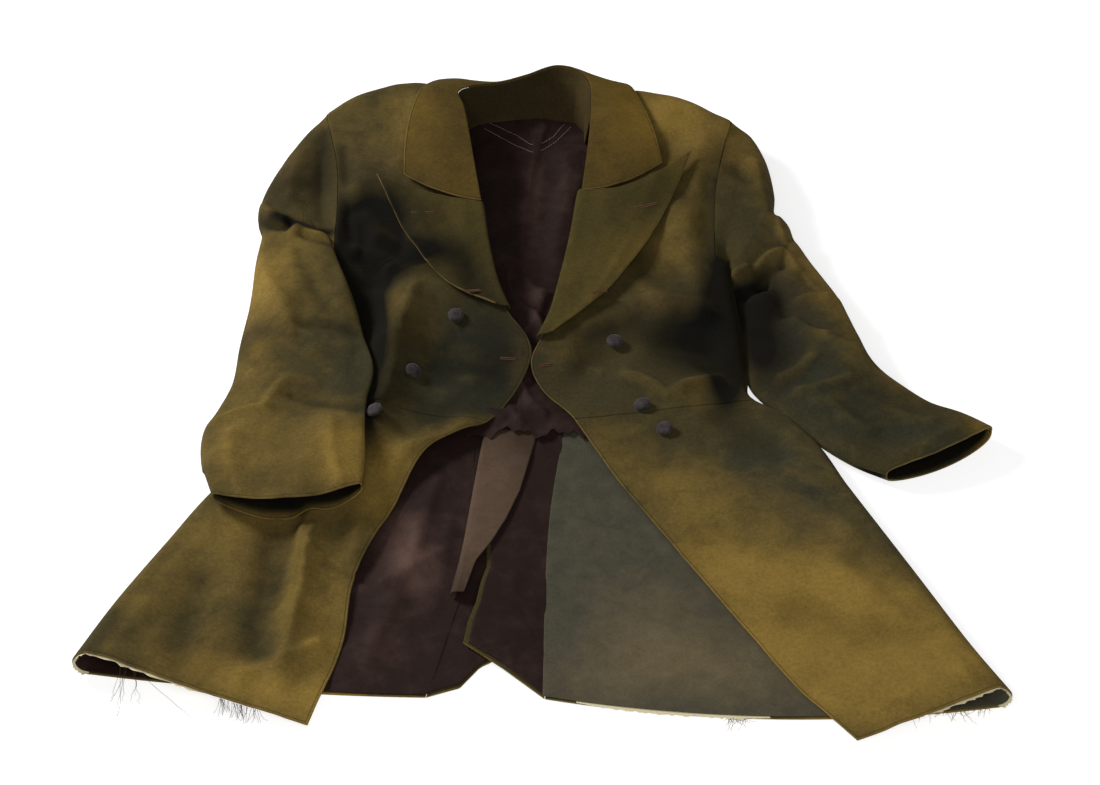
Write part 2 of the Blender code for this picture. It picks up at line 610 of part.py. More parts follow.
def button(name, place, up, across, high, colour):
    """A cloth-covered button on the spot place, facing up."""
    sides = 12
    turn = np.linspace(0, 2 * math.pi, sides, endpoint=False)
    up = np.asarray(up, float) / np.linalg.norm(up)
    first = np.cross(up, (0.0, 1.0, 0.0))
    first /= np.linalg.norm(first)
    second = np.cross(up, first)
    circle = np.cos(turn)[:, None] * first + np.sin(turn)[:, None] * second
    outline = list(zip(*BUTTON_OUTLINE.values()))
    rings = [place + up * high * level + circle * across / 2 * reach for reach, level in outline]
    points = np.concatenate(rings + [[place], [place + up * high]])
    following = np.roll(np.arange(sides), -1)
    faces = []
    for ring in range(len(outline) - 1):
        low, top = ring * sides, (ring + 1) * sides
        faces += [(low + i, low + j, top + j, top + i) for i, j in enumerate(following)]
    foot, crown = len(points) - 2, len(points) - 1
    last = (len(outline) - 1) * sides
    faces += [(j, i, foot) for i, j in enumerate(following)]
    faces += [(last + i, last + j, crown) for i, j in enumerate(following)]
    return solid(name, points, faces, colour)


# Each button's side, its place, and how much further out its shank ends on a curved spot.
BUTTONS = {
    "button_left_top": (LEFT_SIDE, -104, 95, 0.0),
    "button_left_middle": (LEFT_SIDE, -150, 5, 0.0),
    "button_left_low": (LEFT_SIDE, -184, -70, 1.8),
    "button_right_top": (RIGHT_SIDE, 70, 51, 0.0),
    "button_right_middle": (RIGHT_SIDE, 99, -40, 0.0),
    "button_right_low": (RIGHT_SIDE, 122, -78, 0.0),
}
CUFF_BUTTON_SHARE = 0.85  # how far down the sleeve's last row of facets its button is


def button_on_body(name, side, x, y, further):
    """Finds the forepart's point nearest to x, y and sets a button just clear of its cloth there."""
    s, v = np.meshgrid(S_FRONT, np.concatenate([V_SKIRT[-3:], V_WAIST[1:]]))
    corners = body(side, s, v)
    share = np.linspace(0, 1, 9)[:, None, None, None]
    rows = corners[:-1] + (corners[1:] - corners[:-1]) * share
    spots = rows[:, :, :-1] + (rows[:, :, 1:] - rows[:, :, :-1]) * share[..., None]
    spots = spots.reshape(-1, 3)
    nearest = spots[np.argmin(np.hypot(spots[:, 0] - x, spots[:, 1] - y))]
    from_corner = np.linalg.norm((corners - nearest)[..., :2], axis=-1)
    i, j = np.unravel_index(np.argmin(from_corner), s.shape)
    up = grid_normals(corners, side["out"])[i, j]
    lift = CLOTH / 2 + SEAM * 2 + further
    return button(name, nearest + up * lift, up, BUTTON_ACROSS, BUTTON_HIGH, BUTTON_CLOTH)


def cuff_button(name):
    """On the top sleeve's second column of facets, near the hindarm seam and the cuff's edge."""
    turn, k = np.meshgrid(np.array([1, 2]) / (RING_POINTS - 1), K_SLEEVE[-2:])
    corners = sleeve_sheet(LEFT_SLEEVE, LEFT_SIDE, True, k, turn)
    above, edge = corners.mean(1)
    up = np.cross(corners[1, 0] - corners[1, 1], above - edge)
    up /= np.linalg.norm(up) * np.sign(up[2])
    spot = above + (edge - above) * CUFF_BUTTON_SHARE
    place = spot + up * (CLOTH / 2 + SEAM * 2)
    return button(name, place, up, CUFF_BUTTON_ACROSS, BUTTON_HIGH, BUTTON_CLOTH)


def coat():
    back_panel("back_left", LEFT_SIDE, LEFT_BACK, None, OLIVE)
    back_panel("back_right", RIGHT_SIDE, RIGHT_BACK, RIGHT_TAIL_RISE, OLIVE)
    for end, side in (("left", LEFT_SIDE), ("right", RIGHT_SIDE)):
        body_panel("side_body_" + end, side, S_BEHIND, V_WAIST, OLIVE)
        body_panel("forepart_" + end, side, S_FRONT, V_FOREPART, DARK_GREEN)
        body_panel("skirt_" + end, side, S_WHOLE, V_SKIRT, GOLDEN_OLIVE)
    back_lining("back_lining_left", "left_x", -1, BROWN_LINING)
    back_lining("back_lining_right", "right_x", 1, BROWN_LINING)
    tail_lining("tail_lining_left", LEFT_SIDE, LEFT_BACK, None, BROWN_LINING)
    tail_lining("tail_lining_right", RIGHT_SIDE, RIGHT_BACK, RIGHT_TAIL_RISE, BROWN_LINING)
    skirt_lining("skirt_lining_left", LEFT_SIDE, BROWN_LINING)
    skirt_lining("skirt_facing_right", RIGHT_SIDE, GREEN_FACING)
    vent_strip("tail_turned_left", BROWN_LINING)
    lapel("lapel_left", LEFT_SIDE, LEFT_LAPEL, BREAK_LEFT, GORGE_LEFT, PEAK_RISE_LEFT, DARK_GREEN)
    lapel("lapel_right", RIGHT_SIDE, RIGHT_LAPEL, BREAK_RIGHT, GORGE_RIGHT, PEAK_RISE_RIGHT, DARK_GREEN)
    collar_leaf("collar_leaf", GOLDEN_OLIVE)
    collar_stand("collar_stand", OLIVE)
    sleeve_half("top_sleeve_left", LEFT_SLEEVE, LEFT_SIDE, True, 0.0, GOLDEN_OLIVE)
    sleeve_half("under_sleeve_left", LEFT_SLEEVE, LEFT_SIDE, True, 1.0, OLIVE)
    sleeve_half("top_sleeve_right", RIGHT_SLEEVE, RIGHT_SIDE, False, 0.0, DARK_GREEN)
    sleeve_half("under_sleeve_right", RIGHT_SLEEVE, RIGHT_SIDE, False, 1.0, OLIVE)
    for name, (side, x, y, further) in BUTTONS.items():
        button_on_body(name, side, x, y, further)
    cuff_button("button_cuff_left")


coat()
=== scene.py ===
"""A faded double-breasted frock coat, laid open on its back. Tables are in millimetres, meshes in metres.

X runs to the right of the view, Y towards the collar and Z up. "Left" and "right" are the view's.
"""

import math

import bpy
import numpy as np
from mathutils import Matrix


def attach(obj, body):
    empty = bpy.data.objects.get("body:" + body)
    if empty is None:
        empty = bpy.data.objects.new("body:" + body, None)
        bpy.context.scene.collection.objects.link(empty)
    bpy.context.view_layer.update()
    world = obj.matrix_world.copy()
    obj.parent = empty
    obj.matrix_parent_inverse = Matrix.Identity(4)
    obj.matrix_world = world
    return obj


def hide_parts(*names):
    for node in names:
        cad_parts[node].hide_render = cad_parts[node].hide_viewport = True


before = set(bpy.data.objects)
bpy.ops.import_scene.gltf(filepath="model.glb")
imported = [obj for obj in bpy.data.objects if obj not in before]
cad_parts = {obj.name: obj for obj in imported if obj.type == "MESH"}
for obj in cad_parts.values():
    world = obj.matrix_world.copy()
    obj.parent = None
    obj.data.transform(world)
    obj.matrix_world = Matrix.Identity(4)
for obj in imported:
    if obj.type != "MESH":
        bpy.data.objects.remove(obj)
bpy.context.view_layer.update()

# The room: a white floor, a soft light high on the upper left, a broad one in front that is strongest at the
# hem, and a camera that looks down at 43 degrees from the hem's side.
camera = bpy.data.objects.new("camera", bpy.data.cameras.new("camera"))
camera.location = (0.0, -2.2818, 2.1278)
camera.rotation_euler = (math.radians(47), 0, 0)
camera.data.sensor_width = 36
camera.data.lens = 94.25
bpy.context.scene.collection.objects.link(camera)
bpy.context.scene.camera = camera
bpy.context.scene.view_settings.view_transform = "Standard"


def soft_light(name, place, aim, size, watts):
    """A square area light at place, turned to face aim."""
    lamp = bpy.data.lights.new(name, "AREA")
    lamp.shape, lamp.size, lamp.energy = "SQUARE", size, watts
    light = bpy.data.objects.new(name, lamp)
    turn = np.array(aim) - np.array(place)
    light.location = place
    light.rotation_euler = (
        math.atan2(math.hypot(turn[0], turn[1]), -turn[2]), 0, math.atan2(turn[1], turn[0]) - math.pi / 2,
    )
    bpy.context.scene.collection.objects.link(light)


soft_light("key", (-1.75, 0.9, 1.35), (0.0, 0.0, 0.0), 0.6, 62)
soft_light("front", (0.15, -1.75, 1.35), (0.0, -0.35, 0.0), 1.3, 22)
world = bpy.data.worlds.new("studio")
world.use_nodes = True
sky = world.node_tree.nodes["Background"].inputs
sky["Color"].default_value = (1.0, 1.0, 1.0, 1.0)
sky["Strength"].default_value = 0.20
bpy.context.scene.world = world

floor_mesh = bpy.data.meshes.new("floor")
floor_corners = [(x, y, -0.0006) for x, y in ((-6, -6), (6, -6), (6, 6), (-6, 6))]
floor_mesh.from_pydata(floor_corners, [], [(0, 1, 2, 3)])
floor = bpy.data.objects.new("floor", floor_mesh)
bpy.context.scene.collection.objects.link(floor)
white = bpy.data.materials.new("floor_white")
white.use_nodes = True
floor_paint = white.node_tree.nodes["Principled BSDF"].inputs
floor_paint["Base Color"].default_value = (0.5, 0.5, 0.5, 1)
floor_paint["Roughness"].default_value = 0.9
floor_paint["Emission Color"].default_value = (1, 1, 1, 1)
floor_paint["Emission Strength"].default_value = 0.72
floor_mesh.materials.append(white)

# Foreparts, side bodies and skirts: heavy fulled wool, faded from green-black to olive and gold where light
# fell on it. Each side of the coat is one sheet bent round its side fold, cut at the waist seam.
MM = 0.001
CLOTH = 2.0
LINING = 1.0
SEAM = 0.3
LIE = 1.0  # height of the cloth's middle where it lies on the floor
ARMPIT = 1.6  # v where the side body ends and the armhole begins
LOWEST_FRONT = 4.9  # the front's middle stays above this, clear of the lining under it
FOREPART_LENGTH = 590  # along the cloth from the waist seam, over the shoulder
SKIRT_LENGTH = 430  # from the waist seam to the hem


def table(columns, *rows):
    """Named columns from rows of numbers."""
    return dict(zip(columns.split(), np.array(rows, float).T))


def smooth(knots, values, at):
    """A curve through the rows whose slope at a row is the mean of the slopes beside it."""
    slopes = np.gradient(values, knots)
    i = np.clip(np.searchsorted(knots, at, side="right") - 1, 0, len(knots) - 2)
    span = knots[i + 1] - knots[i]
    t = (at - knots[i]) / span
    start = values[i] * (1 + 2 * t) * (1 - t) ** 2 + slopes[i] * span * t * (1 - t) ** 2
    end = values[i + 1] * t * t * (3 - 2 * t) - slopes[i + 1] * span * t * t * (1 - t)
    return start + end


def fade(low, high, value):
    """0 below low, 1 above high, and an S between them."""
    t = np.clip((value - low) / (high - low), 0, 1)
    return t * t * (3 - 2 * t)


BODY_COLUMNS = "v edge_x edge_y edge_z side_x side_y side_z under_x under_y bow sag"
LEFT = table(
    BODY_COLUMNS,
    (0.00, -233, -476, 5, -450, -406, 33, -121, -436, 0, -6),
    (0.30, -204, -365, 7, -412, -322, 33, -98, -335, 0, 0),
    (0.50, -197, -283, 9, -376, -252, 32, -83, -262, 0, 0),
    (0.72, -163, -188, 12, -333, -172, 31, -81, -175, 0, 0),
    (0.88, -128, -106, 13, -286, -100, 27, -82, -105, 0, 0),
    (1.00, -66, -58, 12, -243, -48, 20, -82, -62, 0, 0),
    (1.10, -43, -24, 13, -240, -14, 15, -84, -18, 0, 0),
    (1.20, -24, 20, 15, -238, 25, 14, -88, 26, 0, 0),
    (1.28, -20, 50, 18, -237, 56, 14, -94, 58, 0, 0),
    (1.34, -27, 72, 22, -236, 80, 15, -100, 84, 0, 0),
    (1.40, -43, 96, 26, -236, 104, 17, -108, 110, 0, 0),
    (1.50, -59, 137, 31, -238, 148, 22, -126, 152, 0, 0),
    (1.60, -69, 186, 35, -243, 196, 32, -150, 200, 0, 0),
    (1.72, -79, 254, 40, -242, 262, 44, -170, 262, 0, 0),
    (1.84, -91, 326, 46, -246, 335, 49, -170, 335, 8, 0),
    (1.92, -100, 386, 53, -254, 380, 51, -170, 380, 22, 0),
    (2.00, -111, 446, 60, -262, 420, 50, -170, 420, 35, 0),
)
RIGHT = table(
    BODY_COLUMNS,
    (0.00, 294, -494, 5, 431, -449, 31, -5, -438, 0, -20),
    (0.25, 242, -431, 7, 397, -385, 31, -4, -365, 0, -6),
    (0.50, 175, -322, 8, 352, -285, 29, -2, -270, 0, 0),
    (0.75, 103, -202, 10, 298, -165, 26, 4, -170, 0, 0),
    (0.90, 57, -122, 12, 264, -85, 22, 12, -103, 0, 0),
    (0.96, 38, -82, 13, 240, -52, 20, 16, -74, 0, 0),
    (1.00, 26, -57, 13, 215, -33, 19, 19, -55, 0, 0),
    (1.12, -9, -12, 16, 204, 12, 20, 21, -8, 0, 0),
    (1.20, -20, 15, 19, 200, 44, 24, 24, 27, 0, 0),
    (1.27, -19, 36, 23, 198, 68, 26, 29, 52, 0, 0),
    (1.31, -13, 50, 26, 196, 84, 28, 33, 66, 0, 0),
    (1.40, 2, 92, 29, 192, 116, 31, 44, 100, 0, 0),
    (1.50, 11, 132, 32, 188, 150, 34, 60, 142, 0, 0),
    (1.60, 22, 190, 36, 186, 186, 37, 88, 190, 0, 0),
    (1.72, 33, 260, 41, 187, 240, 40, 110, 240, 0, 0),
    (1.84, 44, 332, 46, 192, 305, 45, 115, 305, 4, 0),
    (1.92, 50, 396, 54, 202, 363, 50, 115, 362, 13, 0),
    (2.00, 50, 447, 60, 212, 403, 52, 115, 401, 23, 0),
)

# A crease runs from x0, y0 to x1, y1 and bends sideways by bend at its middle. Height below 0 is a trough.
# It is wide_0 across where it starts and wide_1 where it ends, and lean makes one flank steeper.
CREASE_COLUMNS = "x0 y0 x1 y1 bend height wide_0 wide_1 lean"
LEFT_CREASES = table(
    CREASE_COLUMNS,
    (-148, 122, -171, 40, 0, 20, 26, 26, 0.0),
    (-171, 40, -184, -80, 0, 18, 26, 26, 0.0),
    (-210, 122, -214, -20, 0, -9, 15, 15, 0.0),
    (-222, 292, -196, 214, 0, 7, 16, 15, 0.0),
    (-196, 214, -140, 190, 0, 6, 14, 12, 0.0),
    (-232, 250, -196, 160, 0, -14, 20, 20, 0.0),
    (-90, -70, -150, -112, 0, 8.5, 16, 16, 0.0),
    (-235, 292, -218, 208, -4, 6.8, 9, 8, 0.2),
    (-216, 203, -176, 172, -5, 6.8, 8, 8, 0.3),
    (-176, 172, -132, 168, 4, 6.0, 8, 7, 0.3),
    (-212, 262, -166, 200, -8, -6, 12, 9, 0.0),
    (-147, 136, -162, 70, 3, 5.1, 7, 8, 0.4),
    (-162, 70, -177, -44, -4, 5.1, 8, 9, 0.4),
    (-175, -12, -127, -74, 7, 4.4, 12, 9, 0.0),
    (-160, -40, -112, -80, 5, -3.1, 9, 8, 0.0),
    (-118, -33, -86, -2, 0, 2.4, 10, 12, 0.0),
    (-120, 60, -60, 46, 5, 2.0, 16, 12, 0.0),
    (-105, 20, -48, 5, -4, -1.7, 14, 11, 0.0),
    (-242, 360, -227, 262, 3, -6.8, 8, 10, 0.0),
    (-160, 440, -180, 330, -8, 4.1, 20, 16, 0.0),
    (-120, 430, -135, 330, 0, -4.2, 10, 12, 0.0),
    (-237, -189, -252, -235, 3, 6, 10, 12, -0.45),
    (-252, -235, -260, -340, 0, 8, 12, 15, -0.45),
    (-260, -340, -266, -420, 0, 6, 15, 16, -0.3),
    (-240, -226, -247, -260, 1, 4, 5, 6, -0.3),
    (-247, -260, -262, -405, -3, 4.5, 5, 8, -0.3),
    (-285, -240, -292, -380, 0, -6.0, 18, 20, 0.0),
    (-242, -255, -196, -280, 0, 4.1, 5, 4, 0.4),
    (-226, -268, -198, -284, 0, -3.7, 5, 4, 0.0),
    (-296, -418, -229, -375, 6, 6.0, 12, 10, 0.2),
    (-222, -300, -212, -400, 0, -3.4, 12, 16, 0.0),
    (-358, -219, -397, -334, 8, 3.7, 24, 28, 0.0),
    (-304, -250, -328, -383, -6, 2.4, 20, 26, 0.0),
    (-345, -300, -360, -410, 4, -3.1, 16, 20, 0.0),
    (-186, -178, -198, -260, 4, 3.4, 12, 10, 0.0),
    (-150, -130, -172, -190, -3, -2.7, 9, 12, 0.0),
    (-400, -340, -432, -405, 2, 3.1, 12, 16, 0.0),
)
RIGHT_CREASES = table(
    CREASE_COLUMNS,
    (116, 118, 176, 100, 0, 8, 15, 15, 0.2),
    (136, 62, 186, 42, 0, -13, 26, 26, 0.0),
    (84, 4, 118, -13, -3, 7.5, 10, 9, 0.3),
    (136, -17, 166, -4, -4, 8.0, 9, 10, 0.3),
    (180, 0, 202, -14, 2, 6.5, 9, 10, 0.2),
    (96, 190, 130, 150, 0, -6, 26, 26, 0.0),
    (120, 300, 150, 230, 0, 8.5, 30, 30, 0.0),
    (126, 109, 203, 90, 5, 5.1, 8, 9, 0.4),
    (140, 92, 200, 74, 4, -4.2, 8, 10, 0.0),
    (191, 307, 190, 167, -4, -5.1, 8, 9, 0.0),
    (159, 248, 166, 128, 5, 3.4, 14, 12, 0.0),
    (54, 8, 98, 40, 4, 2.7, 14, 12, 0.0),
    (40, 60, 96, 86, 3, -2.7, 12, 14, 0.0),
    (180, 380, 168, 300, 4, 3.4, 18, 16, 0.0),
    (150, -150, 300, -230, 0, 6.1, 36, 40, 0.0),
    (250, -330, 380, -380, 0, -5.8, 32, 34, 0.0),
    (300, -300, 420, -420, 0, 6.1, 26, 28, 0.0),
    (94, -134, 215, -211, 8, 2.7, 18, 22, 0.0),
    (152, -262, 309, -325, -8, 3.1, 20, 24, 0.0),
    (227, -371, 360, -410, 6, 2.7, 16, 20, 0.0),
    (313, -273, 370, -372, 4, -3.4, 18, 20, 0.0),
    (40, -80, 93, -166, -4, 1.7, 12, 14, 0.0),
    (250, -75, 309, -176, 5, 3.4, 16, 18, 0.0),
    (180, -60, 240, -120, -3, -3.1, 16, 18, 0.0),
    (270, -440, 330, -470, 2, 2.4, 12, 12, 0.0),
)


def creases(rows, x, y):
    """Sum over the rows of height * exp(-(d / width)^1.6), where d is the distance from the bent run."""
    total = np.zeros(np.broadcast(x, y).shape)
    for x0, y0, x1, y1, bend, height, wide_0, wide_1, lean in zip(*rows.values()):
        length = math.hypot(x1 - x0, y1 - y0)
        along = ((x - x0) * (x1 - x0) + (y - y0) * (y1 - y0)) / length**2
        aside = ((x - x0) * (y1 - y0) - (y - y0) * (x1 - x0)) / length
        near = np.clip(along, 0, 1)
        aside = aside - bend * 4 * near * (1 - near)
        width = (wide_0 + (wide_1 - wide_0) * near) * (1 + lean * np.tanh(aside / 3))
        total += height * np.exp(-(((aside**2 + ((along - near) * length) ** 2) / width**2) ** 0.8))
    return total


def unevenness(x, y, size, seed):
    """A few crossing waves of unlike lengths, so that no stretch of cloth is quite flat."""
    chance = np.random.default_rng(seed)
    total = np.zeros(np.broadcast(x, y).shape)
    lengths = (145, 96, 67, 41, 29, 17)
    for length in lengths:
        turn, phase = chance.uniform(0, 2 * math.pi, 2)
        wave = 2 * math.pi * (x * math.cos(turn) + y * math.sin(turn)) / length + phase
        total += (length / lengths[0]) ** 0.9 * np.sin(wave)
    return total * size / 2


LEFT_SIDE = {"rows": LEFT, "creases": LEFT_CREASES, "out": -1, "seed": 3}
RIGHT_SIDE = {"rows": RIGHT, "creases": RIGHT_CREASES, "out": 1, "seed": 8}


def body_relief(side, x, y):
    return creases(side["creases"], x, y) + unevenness(x, y, 1.6, side["seed"])


def body(side, s, v):
    """A point in the middle of one side's cloth: s 0 to 1 crosses the front, 1 to 2 turns the side fold
    and 2 to 3 goes back along the floor; v is 0 at the hem, 1 at the waist, 2 to 3 over the shoulder."""
    s, v = np.broadcast_arrays(np.asarray(s, float), np.asarray(v, float))
    rows = side["rows"]
    at = {name: smooth(rows["v"], rows[name], np.clip(v, 0, 2)) for name in rows}
    across, under = np.clip(s, 0, 1), np.clip(s - 2, 0, 1)
    turn = math.pi * np.clip(s - 1, 0, 1)
    radius = (at["side_z"] - LIE) / 2
    x = at["edge_x"] + (at["side_x"] - at["edge_x"]) * across + (at["under_x"] - at["side_x"]) * under
    y = at["edge_y"] + (at["side_y"] - at["edge_y"]) * across + (at["under_y"] - at["side_y"]) * under
    y += at["bow"] * 4 * across * (1 - across) + at["sag"] * 4 * under * (1 - under)
    z = at["edge_z"] + (at["side_z"] - at["edge_z"]) * across
    relief = body_relief(side, x, y)
    front_z = LOWEST_FRONT + np.logaddexp(0, z + relief * (1 - fade(0.86, 1, across)) - LOWEST_FRONT)
    z = np.where(s < 1, front_z, z) - radius * (1 - np.cos(turn))
    x = x + side["out"] * radius * np.sin(turn)
    over = math.pi * np.clip(v - 2, 0, 1)
    drop = (z - LIE) / 2
    return np.stack([x, y + drop * np.sin(over), z - drop * (1 - np.cos(over))], -1)


RIM = np.array([0.0, 0.22, 0.62, 1.1])  # how far in from the rim its first rows of points are
RIM_WALL = np.array([0.3, 0.72, 0.94, 1.0])  # and the share of the wall's thickness there


def spread(low, high, length, pitch, gap=0.15):
    """Values from low to high for a length in mm: close together at both ends, pitch apart between."""
    span = high - low
    near = (RIM + gap) / length * span
    count = max(3, int(round(length / pitch)))
    inner = np.linspace(low + near[-1], high - near[-1], count + 1)[1:-1]
    values = np.concatenate([low + near, inner, high - near[::-1]])
    wall = np.concatenate([RIM_WALL, np.ones(len(inner)), RIM_WALL[::-1]])
    return values, wall


def grid_normals(middle, out):
    """Unit normals of a grid, from the differences between its own points."""
    normal = out * np.cross(np.gradient(middle, axis=1), np.gradient(middle, axis=0))
    return normal / np.maximum(np.linalg.norm(normal, axis=-1, keepdims=True), 1e-9)


def steps(grid, axis):
    """Running length in millimetres along an axis of a grid."""
    size = np.linalg.norm(np.diff(grid, axis=axis), axis=-1)
    start = np.zeros_like(np.take(size, [0], axis=axis))
    return np.concatenate([start, np.cumsum(size, axis=axis)], axis=axis)


def shell(name, middle, normal, thickness, wall, edges, tones):
    """A closed mesh: each point of the grid moved half the wall out and half in along its normal.

    It stores the running lengths as the UV map, the distance from the nearest finished edge and the length
    along it, and the named tones, so that weave, stitches and fading follow the cloth."""
    rows, columns = middle.shape[:2]
    half = normal * (thickness / 2 * wall)[..., None]
    points = np.concatenate([(middle + half).reshape(-1, 3), (middle - half).reshape(-1, 3)]) * MM
    index = np.arange(rows * columns).reshape(rows, columns)
    quads = np.stack([index[:-1, :-1], index[1:, :-1], index[1:, 1:], index[:-1, 1:]], -1).reshape(-1, 4)
    rim = np.concatenate([index[0, :], index[1:, -1], index[-1, -2::-1], index[-2:0:-1, 0]])
    following = np.roll(rim, -1)
    count = rows * columns
    sides = np.stack([rim, following, following + count, rim + count], -1)
    faces = np.concatenate([quads, quads[:, ::-1] + count, sides])
    first, second, third = points[faces[:, 0]], points[faces[:, 1]], points[faces[:, 2]]
    if np.sum(first * np.cross(second, third)) < 0:
        faces = faces[:, ::-1]
    mesh = bpy.data.meshes.new(name)
    mesh.vertices.add(len(points))
    mesh.vertices.foreach_set("co", points.ravel())
    mesh.loops.add(faces.size)
    mesh.loops.foreach_set("vertex_index", faces.ravel())
    mesh.polygons.add(len(faces))
    mesh.polygons.foreach_set("loop_start", np.arange(len(faces)) * 4)
    mesh.polygons.foreach_set("loop_total", np.full(len(faces), 4))
    mesh.update(calc_edges=True)
    across, up = steps(middle, 1), steps(middle, 0)
    both = np.stack([across, up], -1).reshape(-1, 2) * MM
    uv = np.concatenate([both, both])[faces.ravel()]
    mesh.uv_layers.new(name="cloth").data.foreach_set("uv", uv.ravel())
    reach = {"start": across, "end": across[:, -1:] - across, "low": up, "high": up[-1:] - up}
    lengths = {"start": up, "end": up, "low": across, "high": across}
    edge, along = np.full(across.shape, 99.0), np.zeros(across.shape)
    for which in edges:
        nearer = reach[which] < edge
        edge, along = np.where(nearer, reach[which], edge), np.where(nearer, lengths[which], along)
    for title, values in {"edge": edge, "along": along, **tones}.items():
        layer = mesh.attributes.new(title, "FLOAT", "POINT")
        flat = np.broadcast_to(values, across.shape).ravel()
        layer.data.foreach_set("value", np.concatenate([flat, flat]).astype(np.float32))
    mesh.shade_smooth()
    made = bpy.data.objects.new(name, mesh)
    bpy.context.scene.collection.objects.link(made)
    return made


def lay(made, material, nodes, rests_on):
    """Gives a finished sheet its material, hangs it from the root body and hides the CAD nodes that it stands
    in for.
    """
    made.data.materials.append(material)
    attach(made, "root")
    if nodes:
        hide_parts(*nodes)


# Where light and wear have turned the cloth gold, where it is still green-grey, and where it is soiled brown.
# Two of the gold patches are painted light that lifts a cast shadow.
PATCH_COLUMNS = "x y reach_x reach_y turn amount"
GOLD = table(
    PATCH_COLUMNS,
    (-200, 440, 95, 42, -10, 0.15),
    (-160, 380, 45, 70, 0, 0.25),
    (150, 425, 100, 55, -22, 0.95),
    (110, 360, 55, 60, 0, 0.35),
    (300, -400, 130, 85, -35, 1.15),
    (215, -300, 90, 70, -35, 0.60),
    (330, -350, 70, 60, -35, 0.45),
    (385, -400, 60, 60, 0, 0.25),
    (170, -250, 70, 50, -40, 0.30),
    (110, -170, 60, 55, -45, 0.35),
    (60, -95, 45, 40, -45, 0.12),
    (240, -410, 60, 35, -45, 0.30),
    (-217, -370, 34, 110, 4, 0.95),
    (-255, -445, 80, 30, -18, 0.60),
    (-330, -425, 90, 26, -18, 0.45),
    (-400, -330, 45, 90, 28, 0.30),
    (-312, -230, 60, 30, 20, 0.40),
    (-320, -290, 60, 90, 0, 0.32),
    # Painted light: lifts the left cuff's cast shadow on the left skirt.
    (-165, -180, 34, 70, 20, 0.95),
    (-150, -120, 50, 40, 0, 0.35),
    (-88, -72, 45, 20, 25, 0.40),
    (-35, 10, 14, 60, 0, 0.20),
    (30, 40, 40, 30, 0, 0.20),
    (-322, -126, 50, 60, 0, 0.42),
    (-262, -140, 70, 60, 0, 0.40),
    (-212, -140, 30, 50, 0, 0.70),
    (-290, 150, 60, 80, -15, 0.50),
    (-325, 60, 26, 120, 0, 0.35),
    (-290, 360, 50, 60, 0, 0.25),
    (233, 370, 40, 60, 0, 0.22),
    (330, 110, 26, 90, 25, 0.75),
    (290, 190, 22, 60, 25, 0.55),
    (462, -76, 26, 40, 0, 0.70),
    (400, -24, 60, 12, -30, 0.35),
    # Painted light: lifts the right lapel's cast shadow on the right forepart.
    (112, 176, 46, 50, 0, 0.75),
)
GREEN = table(
    PATCH_COLUMNS,
    (-100, 50, 70, 70, 0, 1.00),
    (-130, -20, 60, 60, 0, 0.60),
    (-60, 0, 40, 70, 0, 0.60),
    (-300, -320, 55, 75, -10, 0.30),
    (-270, -230, 50, 30, 0, 0.25),
    (-345, -260, 40, 60, 20, 0.35),
    (225, -140, 90, 60, -20, 0.95),
    (275, -215, 70, 55, -30, 0.90),
    (335, -270, 40, 60, 30, 0.40),
    (60, -20, 60, 40, 0, 0.40),
    (120, 170, 60, 60, 0, 0.30),
    (150, 60, 55, 60, 0, 0.55),
    (-190, 210, 50, 60, 0, 0.50),
    (-215, 0, 30, 90, 0, 0.60),
    (-270, 34, 40, 16, 0, 0.35),
    (-280, -90, 60, 14, 10, 0.25),
    (320, -40, 70, 70, -35, 1.00),
    (385, -95, 60, 30, -25, 0.80),
    (262, 60, 40, 90, 0, 0.90),
    (240, 240, 40, 50, 0, 0.40),
    (-300, 290, 30, 40, 0, 0.25),
)
BROWN = table(
    PATCH_COLUMNS,
    (155, 55, 45, 40, 0, 0.55),
    (120, 110, 50, 20, 0, 0.20),
    (-200, 300, 40, 60, 0, 0.45),
    (-300, 330, 40, 30, 20, 0.30),
    (-318, 52, 24, 18, 0, 0.45),
    (-280, 50, 50, 10, 0, 0.25),
    (200, 300, 20, 60, 0, 0.40),
    (262, 100, 30, 60, 0, 0.40),
    (-150, 240, 26, 40, 0, 0.25),
    (70, -50, 40, 12, 10, 0.20),
    (-300, -130, 24, 14, 0, 0.25),
    (-260, -40, 30, 10, 0, 0.20),
)

# Painted shade: near-black patches where shade falls, in the valleys beside the sleeves, in the hollows of
# the fronts, along the body's side folds and under the lapels' edges; in the folds this is partly cloth that
# light never faded.
UNFADED_AND_SHADED = table(
    PATCH_COLUMNS,
    (-212, 70, 26, 130, 6, 1.50),
    (-196, 235, 34, 50, 0, 1.50),
    (-170, 182, 60, 24, 8, 1.30),
    (-105, 45, 80, 90, 0, 0.50),
    (34, 22, 26, 18, 40, 0.40),
    (-50, 30, 30, 60, 0, 0.40),
    (-130, -55, 60, 34, 0, 0.35),
    (-90, 155, 24, 50, 20, 0.60),
    (-130, 240, 30, 30, 0, 0.25),
    (-190, -90, 14, 40, 0, 0.50),
    (165, 60, 45, 60, 0, 0.72),
    (188, 110, 22, 80, 0, 1.00),
    (190, -5, 20, 50, 0, 0.95),
    (60, 70, 50, 22, 40, 0.60),
    (120, 172, 50, 50, 0, 0.10),
    (114, 270, 34, 70, -20, 0.35),
    (-196, 120, 16, 110, 6, 0.90),
    (202, 110, 16, 90, -3, 1.30),
    (200, 290, 18, 110, 0, 0.40),
)
